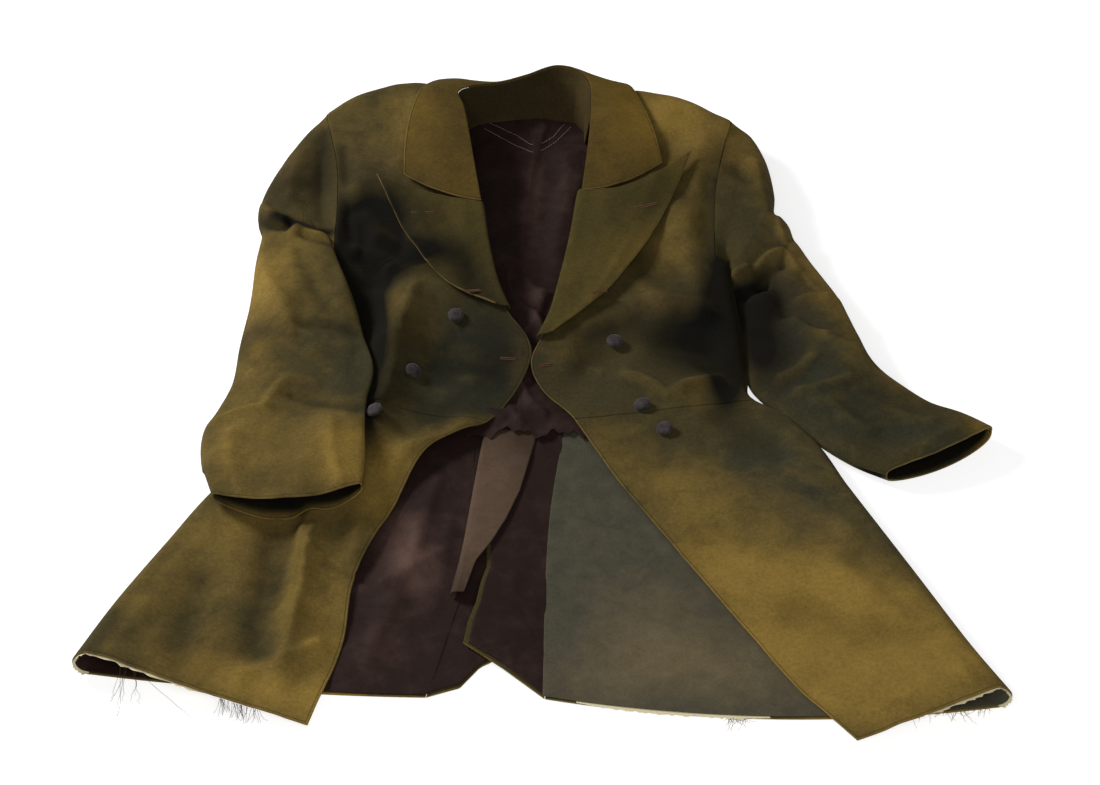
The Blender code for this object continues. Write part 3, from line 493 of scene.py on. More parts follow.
# Painted shade on the sleeves: in the hollows between them and the body and in the trough under the left
# sleeve head's fold, partly cloth left unfaded.
SLEEVE_UNFADED_AND_SHADED = table(
    PATCH_COLUMNS,
    (216, 122, 34, 30, 0, 1.60),
    (228, 60, 22, 60, 0, 0.90),
    (250, 30, 30, 60, 0, 0.45),
    (330, -50, 60, 40, -30, 0.25),
    (-300, 240, 26, 7, -20, 1.10),
    (-262, 228, 26, 7, -6, 1.10),
    (-275, 370, 40, 50, 0, 0.45),
    (-300, 300, 50, 26, 20, 0.55),
    (-216, 40, 10, 120, 4, 0.30),
)


def patches(rows, x, y):
    """Sum over the rows of amount * exp(-r^2); r is 1 on an ellipse of the reaches, turned in degrees."""
    total = np.zeros(x.shape)
    for px, py, reach_x, reach_y, turn, amount in zip(*rows.values()):
        c, s = math.cos(math.radians(turn)), math.sin(math.radians(turn))
        u = ((x - px) * c + (y - py) * s) / reach_x
        w = ((y - py) * c - (x - px) * s) / reach_y
        total += amount * np.exp(-(u * u + w * w))
    return total


def wool_tones(middle, relief=0.0, shade_and_unfaded=UNFADED_AND_SHADED):
    """Ridges are made more gold and troughs darker than the patch they are in: partly fading, partly a
    painted highlight on the ridges and painted shade in the troughs.
    """
    x, y = middle[..., 0], middle[..., 1]
    relief = np.clip(relief, -6, 6)
    return {
        "gold": patches(GOLD, x, y) + 0.035 * relief, "green": patches(GREEN, x, y),
        "brown": patches(BROWN, x, y), "unfaded_and_shade": patches(shade_and_unfaded, x, y) - 0.05 * np.minimum(relief, 0),
    }


class Value:
    """A socket of a shader tree. Arithmetic on it, with numbers or other sockets, adds Math nodes."""

    def __init__(self, tree, socket):
        self.tree, self.socket = tree, socket

    def math(self, operation, *others):
        return self.tree.add("ShaderNodeMath", {"operation": operation}, dict(enumerate((self, *others))))

    def __add__(self, other):
        return self.math("ADD", other)

    def __sub__(self, other):
        return self.math("SUBTRACT", other)

    def __mul__(self, other):
        return self.math("MULTIPLY", other)

    def __truediv__(self, other):
        return self.math("DIVIDE", other)

    def __pow__(self, other):
        return self.math("POWER", other)

    def __rsub__(self, other):
        return self.tree.add("ShaderNodeMath", {"operation": "SUBTRACT"}, {0: other, 1: self})

    __radd__, __rmul__ = __add__, __mul__

    def clamp(self):
        return self.tree.add("ShaderNodeClamp", {}, {"Value": self})

    def sine(self):
        return self.math("SINE")

    def hump(self, centre, width):
        """1 at centre, falling to 0 at width on both sides."""
        return (1 - ((self - centre) / width).math("ABSOLUTE")).clamp()


class Finish:
    """A material being made: add puts in any node, by its type, its settings and its sockets' values."""

    def __init__(self, name, roughness, **constants):
        self.material = bpy.data.materials.new(name)
        self.material.use_nodes = True
        self.nodes, self.links = self.material.node_tree.nodes, self.material.node_tree.links
        self.shader = self.nodes["Principled BSDF"]
        self.shader.inputs["Roughness"].default_value = roughness
        self.shader.inputs["Specular IOR Level"].default_value = 0.06
        for title, value in constants.items():
            self.shader.inputs[title.replace("_", " ")].default_value = value

    def add(self, kind, settings, sockets, output=0):
        made = self.nodes.new(kind)
        for title, value in settings.items():
            setattr(made, title, value)
        for place, value in sockets.items():
            if isinstance(value, Value):
                self.links.new(value.socket, made.inputs[place])
            else:
                made.inputs[place].default_value = value
        return Value(self, made.outputs[output])

    def attribute(self, title):
        return self.add("ShaderNodeAttribute", {"attribute_name": title}, {}, "Fac")

    def place(self):
        return self.add("ShaderNodeTexCoord", {}, {}, "Object")

    def cloud(self, scale, detail=4.0, rough=0.55, distortion=0.0, vector=None):
        sockets = {"Scale": scale, "Detail": detail, "Roughness": rough, "Distortion": distortion}
        return self.add("ShaderNodeTexNoise", {}, {**sockets, "Vector": vector or self.place()}, "Fac")

    def weave_axes(self):
        """Two lengths along the cloth, in millimetres."""
        uv = self.add("ShaderNodeUVMap", {"uv_map": "cloth"}, {})
        split = self.add("ShaderNodeSeparateXYZ", {}, {0: uv}).socket.node.outputs
        return Value(self, split[0]) * 1000, Value(self, split[1]) * 1000

    def mix(self, factor, first, second, blend="MIX"):
        return self.add(
            "ShaderNodeMix", {"data_type": "RGBA", "blend_type": blend}, {0: factor, 6: first, 7: second}, 2
        )

    def shade(self, factor):
        """A grey from a number, to multiply a colour with."""
        return self.add("ShaderNodeCombineColor", {}, {0: factor, 1: factor, 2: factor})

    def finish(self, colour, height, strength=1.0, distance=0.0004, roughness=None):
        bump = self.add("ShaderNodeBump", {}, {"Strength": strength, "Distance": distance, "Height": height})
        self.links.new(colour.socket, self.shader.inputs["Base Color"])
        self.links.new(bump.socket, self.shader.inputs["Normal"])
        if roughness is not None:
            self.links.new(roughness.socket, self.shader.inputs["Roughness"])
        return self.material


def wool(name, olive, gold, green, lean=0.0, stitched=True):
    """Fulled wool: tone from the patches, broken up by clouds; a faint twill, nap, and paler edges, partly
    worn and partly a painted highlight on their rolled rims.
    """
    make = Finish(name, 0.92, Sheen_Weight=0.035, Sheen_Roughness=0.5, Sheen_Tint=(0.8, 0.6, 0.2, 1))
    drift = make.cloud(9, 5, 0.6, 0.6)
    mottle = make.cloud(42, 6, 0.62, 0.3)
    fibre = make.cloud(900, 3, 0.7)
    fleck = make.cloud(260, 4, 0.75)
    worn = (make.attribute("gold") + (drift - 0.5) * 0.9 + (mottle - 0.5) * 0.5 + lean).clamp()
    fresh = (make.attribute("green") + (drift - 0.5) * -0.5 + (mottle - 0.5) * 0.35).clamp()
    soiled = (make.attribute("brown") + (mottle - 0.5) * 0.25).clamp()
    # Mask of painted shade, partly cloth left unfaded in the folds; it mixes the colour towards near-black
    # below.
    shade_and_unfaded = (make.attribute("unfaded_and_shade") * 1.1 + (drift - 0.5) * 0.25).clamp()
    colour = make.mix(fresh, olive, green)
    colour = make.mix(worn, colour, gold)
    colour = make.mix(soiled, colour, (0.030, 0.021, 0.013, 1))
    # Near-black painted shade, partly cloth left unfaded in the folds.
    colour = make.mix(shade_and_unfaded, colour, (0.0042, 0.0042, 0.0032, 1))
    along_u, along_v = make.weave_axes()
    twill = ((along_u * 0.62 + along_v * 0.78) * (2 * math.pi / 1.5)).sine() * 0.5 + 0.5
    yarn = ((along_u * 0.78 - along_v * 0.62) * (2 * math.pi / 0.9)).sine() * 0.5 + 0.5
    grey = 0.78 + (fibre - 0.5) * 0.7 + (fleck - 0.5) * 0.85 + twill * 0.12 + yarn * 0.05
    grey = grey + (mottle - 0.5) * 0.35
    colour = make.mix(1.0, colour, make.shade(grey), "MULTIPLY")
    edge = make.attribute("edge")
    # Paler rim along the finished edges: partly wear, partly a painted highlight.
    worn_and_lit_rim = (edge.hump(0.0, 1.6) * (mottle * 1.9 - 0.35).clamp()).clamp()
    colour = make.mix(worn_and_lit_rim * 0.75, colour, (0.20, 0.135, 0.040, 1))
    height = fibre * 0.35 + fleck * 0.3 + twill * 0.35 + yarn * 0.15
    if stitched:
        seam = edge.hump(2.6, 0.8)
        stitch = ((make.attribute("along") * (2 * math.pi / 2.3)).sine() * 0.5 + 0.5).clamp()
        colour = make.mix(seam * (0.35 + stitch * 0.35), colour, (0.028, 0.022, 0.012, 1))
        height = height - seam * (1.6 - stitch * 0.9)
    return make.finish(colour, height, 0.8, 0.0006)


FRONT_WOOL = wool(
    "faded_wool", (0.056, 0.043, 0.015, 1), (0.235, 0.150, 0.033, 1), (0.036, 0.036, 0.021, 1), -0.06,
)
V_OVER = 3.0
TURNED_UNDER = 0.45  # how far round the side fold a forepart reaches, so that its seam doesn't show

for end, side in (("left", LEFT_SIDE), ("right", RIGHT_SIDE)):
    width = 175 if end == "left" else 185
    s, s_wall = spread(0, 1, width, 2.8)
    v, v_wall = spread(1, V_OVER, FOREPART_LENGTH, 2.8)
    s, v = np.meshgrid(s, v)
    middle = body(side, s * (1 + TURNED_UNDER * fade(ARMPIT, ARMPIT - 0.06, v)), v)
    made = shell(
        "forepart_cloth_" + end, middle, grid_normals(middle, side["out"]), CLOTH,
        np.minimum(s_wall, v_wall[:, None]), ["start"],
        wool_tones(middle, body_relief(side, middle[..., 0], middle[..., 1])),
    )
    lay(made, FRONT_WOOL, ["forepart_" + end], ["back_" + end])

    s, s_wall = spread(1 + TURNED_UNDER, 3, 190, 4)
    v, v_wall = spread(1, ARMPIT, 250, 4)
    middle = body(side, *np.meshgrid(s, v))
    made = shell(
        "side_body_cloth_" + end, middle, grid_normals(middle, side["out"]), CLOTH,
        np.minimum(s_wall, v_wall[:, None]), [], wool_tones(middle),
    )
    lay(made, FRONT_WOOL, ["side_body_" + end], [])

    front, front_wall = spread(0, 1, 225, 3.0)
    turned, turned_wall = spread(1, 3, 400, 5.4)
    s = np.concatenate([front[:-4], turned[4:]])
    s_wall = np.concatenate([front_wall[:-4], turned_wall[4:]])
    v, v_wall = spread(0, 1, SKIRT_LENGTH, 3.2)
    middle = body(side, *np.meshgrid(s, v))
    made = shell(
        "skirt_cloth_" + end, middle, grid_normals(middle, side["out"]), CLOTH,
        np.minimum(s_wall, v_wall[:, None]), ["start", "low"],
        wool_tones(middle, body_relief(side, middle[..., 0], middle[..., 1])),
    )
    lay(made, FRONT_WOOL, ["skirt_" + end], ["back_" + end])

# Back and tails: two halves of the same wool, flat on the floor under everything else. The right tail's
# free edge lies over the corner of the left one.
LEFT_BACK = table(
    "v inner_x inner_y mid_x mid_y",
    (0.00, -62, -388, -88, -424),
    (0.10, -63, -365, -86, -392),
    (0.30, -67.5, -325, -81, -330),
    (0.50, -67.5, -260, -74, -260),
    (0.75, -64.5, -150, -72, -150),
    (0.90, -56.5, -98, -68, -99),
    (1.00, -31.6, -66, -52, -65),
    (1.30, -38, 65, -62, 66),
    (1.60, -47, 198, -92, 200),
    (1.63, -47, 204, -130, 204),
    (1.72, -41, 262, -124, 262),
    (1.84, -30, 335, -118, 335),
    (1.92, -23, 385, -114, 386),
    (2.00, -18, 458, -111, 445.6),
)
RIGHT_BACK = table(
    "v inner_x inner_y mid_x mid_y",
    (0.00, -86, -372, -46, -403),
    (0.10, -82, -345, -44, -360),
    (0.20, -74, -318, -38, -325),
    (0.30, -70, -290, -36, -300),
    (0.40, -64.6, -266, -33, -270),
    (0.50, -64.6, -240, -32, -245),
    (0.75, -62.6, -149, -28, -155),
    (0.90, -55.3, -98, -20, -97),
    (1.00, -30.6, -66, -8, -62),
    (1.30, -37, 65, -8, 66),
    (1.60, -46, 198, 10, 196),
    (1.63, -46, 204, 50, 202),
    (1.72, -40, 262, 50, 262),
    (1.84, -29, 335, 50, 335),
    (1.92, -22, 385, 50, 390),
    (2.00, -17, 458, 50, 446.6),
)
LEFT_TAIL_RISE = table("v rise", (0.0, 0.0), (3.0, 0.0))
RIGHT_TAIL_RISE = table(
    "v rise",
    (0.0, 7.5), (0.1, 8.5), (0.2, 9.5), (0.3, 8.0), (0.4, 4.0), (0.9, 2.6), (1.05, 0.0), (3.0, 0.0),
)
LEFT_TAIL_UNDER = 7.0  # how far the left half reaches under the right one along the vent and the seam


def back_sheet(side, columns, rise, u, v):
    """A point in the middle of the back's cloth: straight from inner to mid at u 0.4, and from mid to the
    side body's seam or the armhole at u 1."""
    seam = body(side, 3.0, np.minimum(v, ARMPIT))
    armhole = body(side, 1.0, v)
    above = (v > ARMPIT + 0.01)[..., None]
    outer = np.where(above, armhole, seam)
    outer[..., 0] -= side["out"] * (SEAM + above[..., 0] * SEAM * 3)
    outer[..., 1] += above[..., 0] * fade(ARMPIT + 0.1, ARMPIT, v) * SEAM * 4
    inner_x, inner_y, mid_x, mid_y = (np.interp(v, columns["v"], columns[n]) for n in list(columns)[1:])
    near, far = np.clip(u / 0.4, 0, 1), np.clip((u - 0.4) / 0.6, 0, 1)
    x = inner_x + (mid_x - inner_x) * near + (outer[..., 0] - mid_x) * far
    y = inner_y + (mid_y - inner_y) * near + (outer[..., 1] - mid_y) * far
    bow = smooth(side["rows"]["v"], side["rows"]["bow"], np.clip(v, 0, 2))
    y = y + np.where(v > ARMPIT, bow, 0) * 4 * far * (1 - far) - fade(1.9, 2, v) * SEAM * 3
    return np.stack([x, y, LIE + np.interp(v, rise["v"], rise["rise"]) * (1 - u)], -1)


UP = np.array((0.0, 0.0, 1.0))
for end, side, columns, rise in (
    ("left", LEFT_SIDE, LEFT_BACK, LEFT_TAIL_RISE), ("right", RIGHT_SIDE, RIGHT_BACK, RIGHT_TAIL_RISE),
):
    u, u_wall = spread(0, 1, 130, 5)
    v, v_wall = spread(0, 2, 880, 7)
    u, v = np.meshgrid(u, v)
    middle = back_sheet(side, columns, rise, u, v)
    if end == "left":
        middle[..., 0] += LEFT_TAIL_UNDER * fade(0.12, 0, u) * fade(1.05, 0.95, v)
    made = shell(
        "back_cloth_" + end, middle, np.broadcast_to(UP, middle.shape), CLOTH,
        np.minimum(u_wall, v_wall[:, None]), ["low"], wool_tones(middle),
    )
    lay(made, FRONT_WOOL, ["back_" + end], ["floor"])

# Linings: a thin twilled cloth, purple-brown, over the back and tails, faded where light reached it, with a
# painted highlight along the ridges of its folds. It is tacked at the neck and seams and rides up in soft
# folds; at the waist it is bunched.
INSIDE = CLOTH / 2 + SEAM + LINING / 2
BACK_LINING = table(
    "y seam_x left_x right_x height",
    (-79, -31, -100, 36, 9),
    (-30, -33, -124, 56, 5),
    (20, -37, -146, 76, 3),
    (80, -42, -166, 100, 2),
    (140, -47, -186, 122, 1),
    (184, -48, -196, 134, 0),
    (247, -32, -204, 144, 0),
    (340, -23, -206, 146, 1),
    (400, -19, -186, 130, 3),
    (436, -17, -118, 58, 6),
    (452, -17, -112, 54, 9),
    (463.2, -17, -104, 50, 12),
)
LINING_CREASES = table(
    CREASE_COLUMNS,
    (-70, -40, 0, -36, 3, 5, 11, 12, 0.2),
    (-40, 70, 14, 44, 4, 9, 12, 11, 0.3),
    (-62, 160, -42, 110, 2, 8, 11, 11, 0.2),
    (-8, 150, -26, 90, -3, 6, 9, 10, 0.3),
    (-96, 330, -62, 210, 5, 4, 15, 16, 0.0),
    (22, 400, 6, 230, -4, 6, 14, 16, 0.0),
    (-6, 452, -32, 227, 6, 3.4, 7, 9, 0.3),
    (-59, 413, -43, 207, -5, 2.6, 9, 8, 0.0),
    (-80, 420, -90, 300, 4, 2.0, 10, 12, 0.0),
    (36, 360, 24, 250, 4, 2.4, 8, 10, 0.3),
    (-45, 201, -33, 136, 4, 4.5, 5, 7, 0.4),
    (-33, 136, -11, 103, -3, 5.0, 6, 6, 0.4),
    (-22, 173, 0, 155, 2, 3.4, 5, 5, 0.0),
    (-13, 114, 2, 86, 3, 5.0, 8, 7, 0.0),
    (-58, 190, -20, 180, 4, 2.6, 6, 6, 0.0),
    (-60, 96, -30, 60, 3, 3.0, 7, 8, 0.3),
    (-49, -13, -32, -54, 2, 3.0, 5, 6, 0.2),
    (-32, 9, -5, -44, 3, 3.2, 6, 5, 0.3),
    (-60, 30, -30, 4, -4, 3.0, 7, 6, 0.2),
    (-15, 30, 10, 10, 3, 2.4, 6, 6, 0.0),
    (-80, -20, -50, -50, 3, 2.6, 7, 6, 0.0),
)
# Paler places on the linings: worn fading, and along the ridges of their folds a painted highlight.
PALE = table(
    PATCH_COLUMNS,
    (-143, -253, 26, 44, 20, 1.0),
    (-150, -205, 20, 26, 20, 0.6),
    (-168, -376, 30, 30, 0, 0.2),
    (-2, 98, 14, 16, 0, 0.8),
    (-20, 150, 16, 12, 0, 0.4),
    (-18, 330, 10, 110, -5, 0.35),
    (30, 330, 12, 90, 0, 0.2),
    (-40, 10, 30, 30, 0, 0.25),
)
STRIP_PALE = table(
    PATCH_COLUMNS,
    (-63, -144, 60, 80, 0, 1.0),
    (-70, -240, 40, 60, 0, 0.8),
    (-20, -80, 30, 30, 0, -0.5),
)


def lining_finish(name, dark, pale, grain=1.1):
    """A thin twill with a slight lustre; the pale patches are its own worn, sun-bleached places, and along
    the ridges of its folds a painted highlight.
    """
    make = Finish(name, 0.66, Sheen_Weight=0.03, Sheen_Roughness=0.4, Sheen_Tint=(0.8, 0.6, 0.5, 1))
    drift, mottle = make.cloud(14, 5, 0.6, 0.8), make.cloud(60, 5, 0.62, 0.4)
    fleck = make.cloud(420, 4, 0.7)
    paler_worn_and_lit = (make.attribute("pale") + (drift - 0.5) * 0.7 + (mottle - 0.5) * 0.4).clamp()
    colour = make.mix(paler_worn_and_lit, dark, pale)
    along_u, along_v = make.weave_axes()
    rib = ((along_u * 0.8 + along_v * 0.6) * (2 * math.pi / grain)).sine() * 0.5 + 0.5
    grey = 0.82 + (fleck - 0.5) * 0.6 + rib * 0.10 + (mottle - 0.5) * 0.45
    colour = make.mix(1.0, colour, make.shade(grey), "MULTIPLY")
    return make.finish(colour, fleck * 0.4 + rib * 0.35, 0.4, 0.0003)


LINING_CLOTH = lining_finish("lining_cloth", (0.020, 0.0105, 0.0090, 1), (0.090, 0.050, 0.039, 1))


def pale_tones(middle, rows=PALE):
    return {"pale": patches(rows, middle[..., 0], middle[..., 1])}


def back_lining(outer_x, out, u, y):
    """From the centre seam out: base height from the table, and creases that only rise from it."""
    seam_x = np.interp(y, BACK_LINING["y"], BACK_LINING["seam_x"]) + out * SEAM / 2
    x = seam_x + (np.interp(y, BACK_LINING["y"], BACK_LINING[outer_x]) - seam_x) * u
    base = np.interp(y, BACK_LINING["y"], BACK_LINING["height"]) * (1 - 0.6 * u)
    relief = creases(LINING_CREASES, x, y) + unevenness(x, y, 1.6, 21)
    x = x - (1.6 * fade(0.03, 0, u) if out > 0 else 0)
    torn = 5 * np.sin(x / 9) + 3.5 * np.sin(x / 4.1 + 1) + 2 * np.sin(x / 1.9)
    y = y + (torn + 5) * fade(-50, -79, y)
    seam = (0.5 if out > 0 else -0.3) * fade(0.05, 0, u)
    return np.stack([x, y, LIE + INSIDE + base + seam + np.maximum(relief, -0.6) * fade(1, 0.7, u)], -1)


NECK_LINING = {}
for end, outer_x, out in (("left", "left_x", -1), ("right", "right_x", 1)):
    u, u_wall = spread(0, 1, 140, 2.5)
    y, y_wall = spread(-79, 463.2, 542, 2.7)
    middle = back_lining(outer_x, out, *np.meshgrid(u, y))
    NECK_LINING[end] = middle
    made = shell(
        "back_lining_cloth_" + end, middle, np.broadcast_to(UP, middle.shape), LINING,
        np.minimum(u_wall, y_wall[:, None]), [], pale_tones(middle),
    )
    lay(made, LINING_CLOTH, ["back_lining_" + end], ["back_" + end])

for end, side, columns, rise in (
    ("left", LEFT_SIDE, LEFT_BACK, LEFT_TAIL_RISE), ("right", RIGHT_SIDE, RIGHT_BACK, RIGHT_TAIL_RISE),
):
    u, u_wall = spread(0.05, 1.0, 60, 2.4)
    v, v_wall = spread(0.012, 1.0, 370, 3.4)
    u, v = np.meshgrid(u, v)
    middle = back_sheet(side, columns, rise, u, v)
    if end == "left":
        middle[..., 0] += LEFT_TAIL_UNDER * fade(0.12, 0, u) * fade(1.05, 0.95, v)
    middle[..., 2] += INSIDE + 0.2
    wrinkle = np.maximum(unevenness(middle[..., 0], middle[..., 1], 1.3, 31), 0)
    middle[..., 2] += wrinkle * np.minimum(u_wall, v_wall[:, None]) ** 2
    made = shell(
        "tail_lining_cloth_" + end, middle, np.broadcast_to(UP, middle.shape), LINING,
        np.minimum(u_wall, v_wall[:, None]), [], pale_tones(middle),
    )
    lay(made, LINING_CLOTH, ["tail_lining_" + end], ["back_" + end])

# Left skirt's lining and right skirt's facing: where they show, on the floor between the fronts. The
# facing is a stouter green-grey cloth with fine creases across, browner towards the hem.
FACING = lining_finish("facing_cloth", (0.060, 0.056, 0.038, 1), (0.125, 0.097, 0.052, 1), 1.4)
LEFT_LINING_CREASES = table(
    CREASE_COLUMNS,
    (-167, -282, -112, -240, 4, 3.4, 7, 8, 0.3),
    (-151, -310, -177, -390, 4, 3.0, 8, 9, 0.2),
    (-134, -212, -161, -310, -5, 3.2, 7, 9, 0.3),
    (-115, -139, -132, -254, 4, 3.0, 7, 8, 0.2),
    (-100, -200, -112, -330, 3, 2.2, 6, 8, 0.0),
    (-150, -240, -120, -290, 3, 2.0, 6, 6, 0.0),
)
FACING_CREASES = table(
    CREASE_COLUMNS,
    (0, -275, 51, -268, 2, 1.6, 3, 3, 0.3),
    (51, -268, 101, -265, -2, 1.5, 3, 3, 0.3),
    (50, -310, 149, -364, 4, 2.4, 9, 12, 0.2),
    (10, -364, 89, -377, 3, 1.6, 6, 6, 0.0),
    (73, -139, 142, -254, 5, 2.2, 9, 10, 0.2),
    (145, -454, 262, -448, 2, 1.2, 3, 3, 0.0),
    (30, -200, 90, -215, 3, 1.4, 6, 6, 0.0),
    (20, -330, 70, -322, 2, 1.3, 4, 4, 0.2),
    (100, -400, 170, -420, 3, 1.8, 9, 9, 0.0),
)
FACING_PALE = table(
    PATCH_COLUMNS,
    (100, -336, 60, 60, 0, 0.5),
    (167, -395, 90, 50, 0, 0.8),
    (60, -410, 70, 40, 0, 0.5),
    (72, -225, 50, 60, 0, 0.1),
)

for end, side, material, slot, node, rows, pale in (
    ("left", LEFT_SIDE, LINING_CLOTH, "lining", "skirt_lining_left", LEFT_LINING_CREASES, PALE),
    ("right", RIGHT_SIDE, FACING, "facing", "skirt_facing_right", FACING_CREASES, FACING_PALE),
):
    s, s_wall = spread(1.5, 3.0, 300, 3.2)
    v, v_wall = spread(0.006, 1.0, 380, 3.2)
    base = body(side, *np.meshgrid(s, v))
    base[..., 0] -= side["out"] * 2.5 * fade(2.97, 3.0, s)
    base[..., 2] += 0.9 * fade(2.95, 3.0, s)
    normal = grid_normals(base, side["out"])
    x, y = base[..., 0], base[..., 1]
    relief = np.maximum(creases(rows, x, y) + unevenness(x, y, 1.0, 41), 0)
    relief *= fade(2.0, 2.12, s) * fade(3.0, 2.9, s) * fade(0, 0.02, v)[:, None] * fade(1, 0.95, v)[:, None]
    middle = base - normal * (INSIDE + relief)[..., None]
    made = shell(
        node + "_cloth", middle, grid_normals(middle, side["out"]), LINING,
        np.minimum(s_wall, v_wall[:, None]), [], {"pale": patches(pale, middle[..., 0], middle[..., 1])},
    )
    lay(made, material, [node], ["skirt_" + end])

# Vent strip: the left tail's upper edge turned over to show its lining; it narrows to a twist.
STRIP = table(
    "y edge_x turn_x top",
    (-66, -12, -68, 6.6),
    (-110, -21, -73, 7.2),
    (-158, -31, -78, 8),
    (-200, -45, -82, 9),
    (-232, -59, -85, 10),
    (-262, -75, -88, 12),
    (-308, -86, -95, 14),
)
TURNED_TAIL = lining_finish("turned_tail_cloth", (0.046, 0.028, 0.018, 1), (0.092, 0.058, 0.037, 1))


def vent_strip(u, w):
    """Across from the free edge at u 0 to the turn at u 1, then half round the turn."""
    low = LIE + INSIDE + LINING / 2 + SEAM * 2 + CLOTH / 2
    y = STRIP["y"][0] + (STRIP["y"][-1] - STRIP["y"][0]) * w
    edge_x, turn_x, top = (np.interp(-y, -STRIP["y"], STRIP[n]) for n in ("edge_x", "turn_x", "top"))
    radius = (top - low) / 2
    across, turn = np.clip(u, 0, 1), math.pi * np.clip(u - 1, 0, 1)
    x = edge_x + (turn_x - edge_x) * across - radius * np.sin(turn)
    lift = np.maximum(unevenness(x, y, 0.9, 51), 0) * (1 - fade(0.8, 1, u))
    return np.stack([x, y + 0 * x, top + lift - radius * (1 - np.cos(turn))], -1)


flat_part, flat_wall = spread(0, 1, 45, 1.6)
turned_part, turned_wall = spread(1, 2, 12, 1.6)
u = np.concatenate([flat_part[:-4], turned_part[4:]])
u_wall = np.concatenate([flat_wall[:-4], turned_wall[4:]])
w, w_wall = spread(0, 1, 242, 2.0)
middle = vent_strip(*np.meshgrid(u, w))
made = shell(
    "vent_strip_cloth", middle, grid_normals(middle, 1), CLOTH, np.minimum(u_wall, w_wall[:, None]),
    ["start"], pale_tones(middle, STRIP_PALE),
)
lay(made, TURNED_TAIL, ["tail_turned_left"], ["tail_lining_left"])

# Lapels: the forepart's own cloth turned back along the roll line, faced with the same wool, darker as
# less light reached it; stitched close to its edge, with worn buttonholes.
LAPEL_WOOL = wool(
    "lapel_wool", (0.060, 0.046, 0.013, 1), (0.150, 0.098, 0.020, 1), (0.030, 0.028, 0.012, 1), 0.02,
)
LEFT_LAPEL = table(
    "w share",
    (0.00, 0.03), (0.08, 0.13), (0.16, 0.25), (0.30, 0.36), (0.50, 0.47), (0.75, 0.60), (1.00, 0.72),
)
RIGHT_LAPEL = table(
    "w share",
    (0.00, 0.03), (0.08, 0.11), (0.22, 0.26), (0.40, 0.40), (0.60, 0.56), (0.80, 0.68), (1.00, 0.78),
)

LAPEL_CREASES = table(
    CREASE_COLUMNS,
    (-152, 256, -96, 130, 6, 1.8, 12, 10, 0.3),
    (-120, 250, -84, 150, -4, -1.4, 12, 9, 0.0),
    (-96, 262, -92, 200, 3, 1.4, 9, 10, 0.0),
    (121, 304, 44, 106, -6, 1.8, 14, 9, 0.3),
    (102, 237, 55, 138, 4, -1.5, 9, 8, 0.0),
    (60, 290, 74, 220, 3, 1.3, 10, 10, 0.0),
)


def lapel(side, shares, start, gorge, peak, u, w):
    """The forepart's own points moved out: round the roll while u is below 0, then across to the edge."""
    across = np.clip(u, 0, 1)
    v = start + w * (gorge + peak * across**1.9 - start)
    s = across * smooth(shares["w"], shares["share"], w)
    gentle = {**side["creases"], "height": side["creases"]["height"] * 0.3}
    side = {**side, "creases": gentle}
    base = body(side, s, v)
    inward = (body(side, 0.02, v) - body(side, 0.0, v)) * (1, 1, 0)
    inward /= np.linalg.norm(inward, axis=-1, keepdims=True)
    x, y = base[..., 0], base[..., 1]
    own = creases(LAPEL_CREASES, x, y) + unevenness(x, y, 0.9, 61)
    lift = 6.5 + 3 * across**3 + 3 * fade(0.75, 1, w) + own * fade(0, 0.15, across)
    lift = lift[..., None]
    turn = (math.pi * (1 + np.clip(u, -1, 0)))[..., None]
    return base + (UP * (1 - np.cos(turn)) - inward * np.sin(turn)) * lift / 2


LAPELS = {}
for end, side, shares, start, gorge, peak in (
    ("left", LEFT_SIDE, LEFT_LAPEL, 1.41, 1.743, 0.047),
    ("right", RIGHT_SIDE, RIGHT_LAPEL, 1.31, 1.765, 0.115),
):
    roll, roll_wall = spread(-0.85, 0, 16, 1.2)
    face, face_wall = spread(0, 1, 90, 1.9)
    u = np.concatenate([roll[:-4], face[4:]])
    u_wall = np.concatenate([roll_wall[:-4], face_wall[4:]])
    w, w_wall = spread(0.03, 1, 190, 2.2)
    u, w = np.meshgrid(u, w)
    middle = lapel(side, shares, start, gorge, peak, u, w)
    LAPELS[end] = middle
    made = shell(
        "lapel_cloth_" + end, middle, grid_normals(middle, side["out"]), CLOTH,
        np.minimum(u_wall, w_wall[:, None]), ["end", "high"], wool_tones(middle),
    )
    lay(made, LAPEL_WOOL, ["lapel_" + end], ["forepart_" + end])

# Collar: the leaf falls from a crest round the neck, gold along the crest where it is rubbed; the stand
# inside it is darker, and is stitched to the neck.
COLLAR = table(
    "fold_x fold_y fold_z leaf_x leaf_y leaf_z bow",
    (-78, 268, 49.5, -168, 309, 54.5, -11),
    (-87, 330, 56, -169, 345, 59, 0),
    (-94, 380, 61, -167, 386, 62, 0),
    (-101, 424, 64, -161, 430, 63, 0),
    (-108, 450, 66, -149, 462, 66, 0),
    (-92, 463, 65, -118, 503, 44, 0),
    (-59, 472, 63, -68, 507, 16, 0),
    (-28, 482, 66, -30, 515, 13, 0),
    (6, 494, 71, 8, 522, 13, 0),
    (34, 485, 71, 58, 500, 32, 0),
    (47, 461, 69, 92, 471, 61, 0),
    (48, 424, 64, 108, 434, 62, 0),
    (46, 385, 61, 118, 400, 61, 0),
    (42, 340, 56, 125, 366, 59, -4),
    (36, 287, 49.5, 130, 331, 54.5, -14),
)
STAND = table(
    "station foot_x foot_y",
    (3, -102, 428), (4, -102, 450), (5, -84, 462), (6, -58, 466), (7, -29, 468),
    (8, 2, 467), (9, 28, 464), (10, 41, 450), (11, 42, 428),
)
STATION = np.arange(len(COLLAR["bow"]), dtype=float)
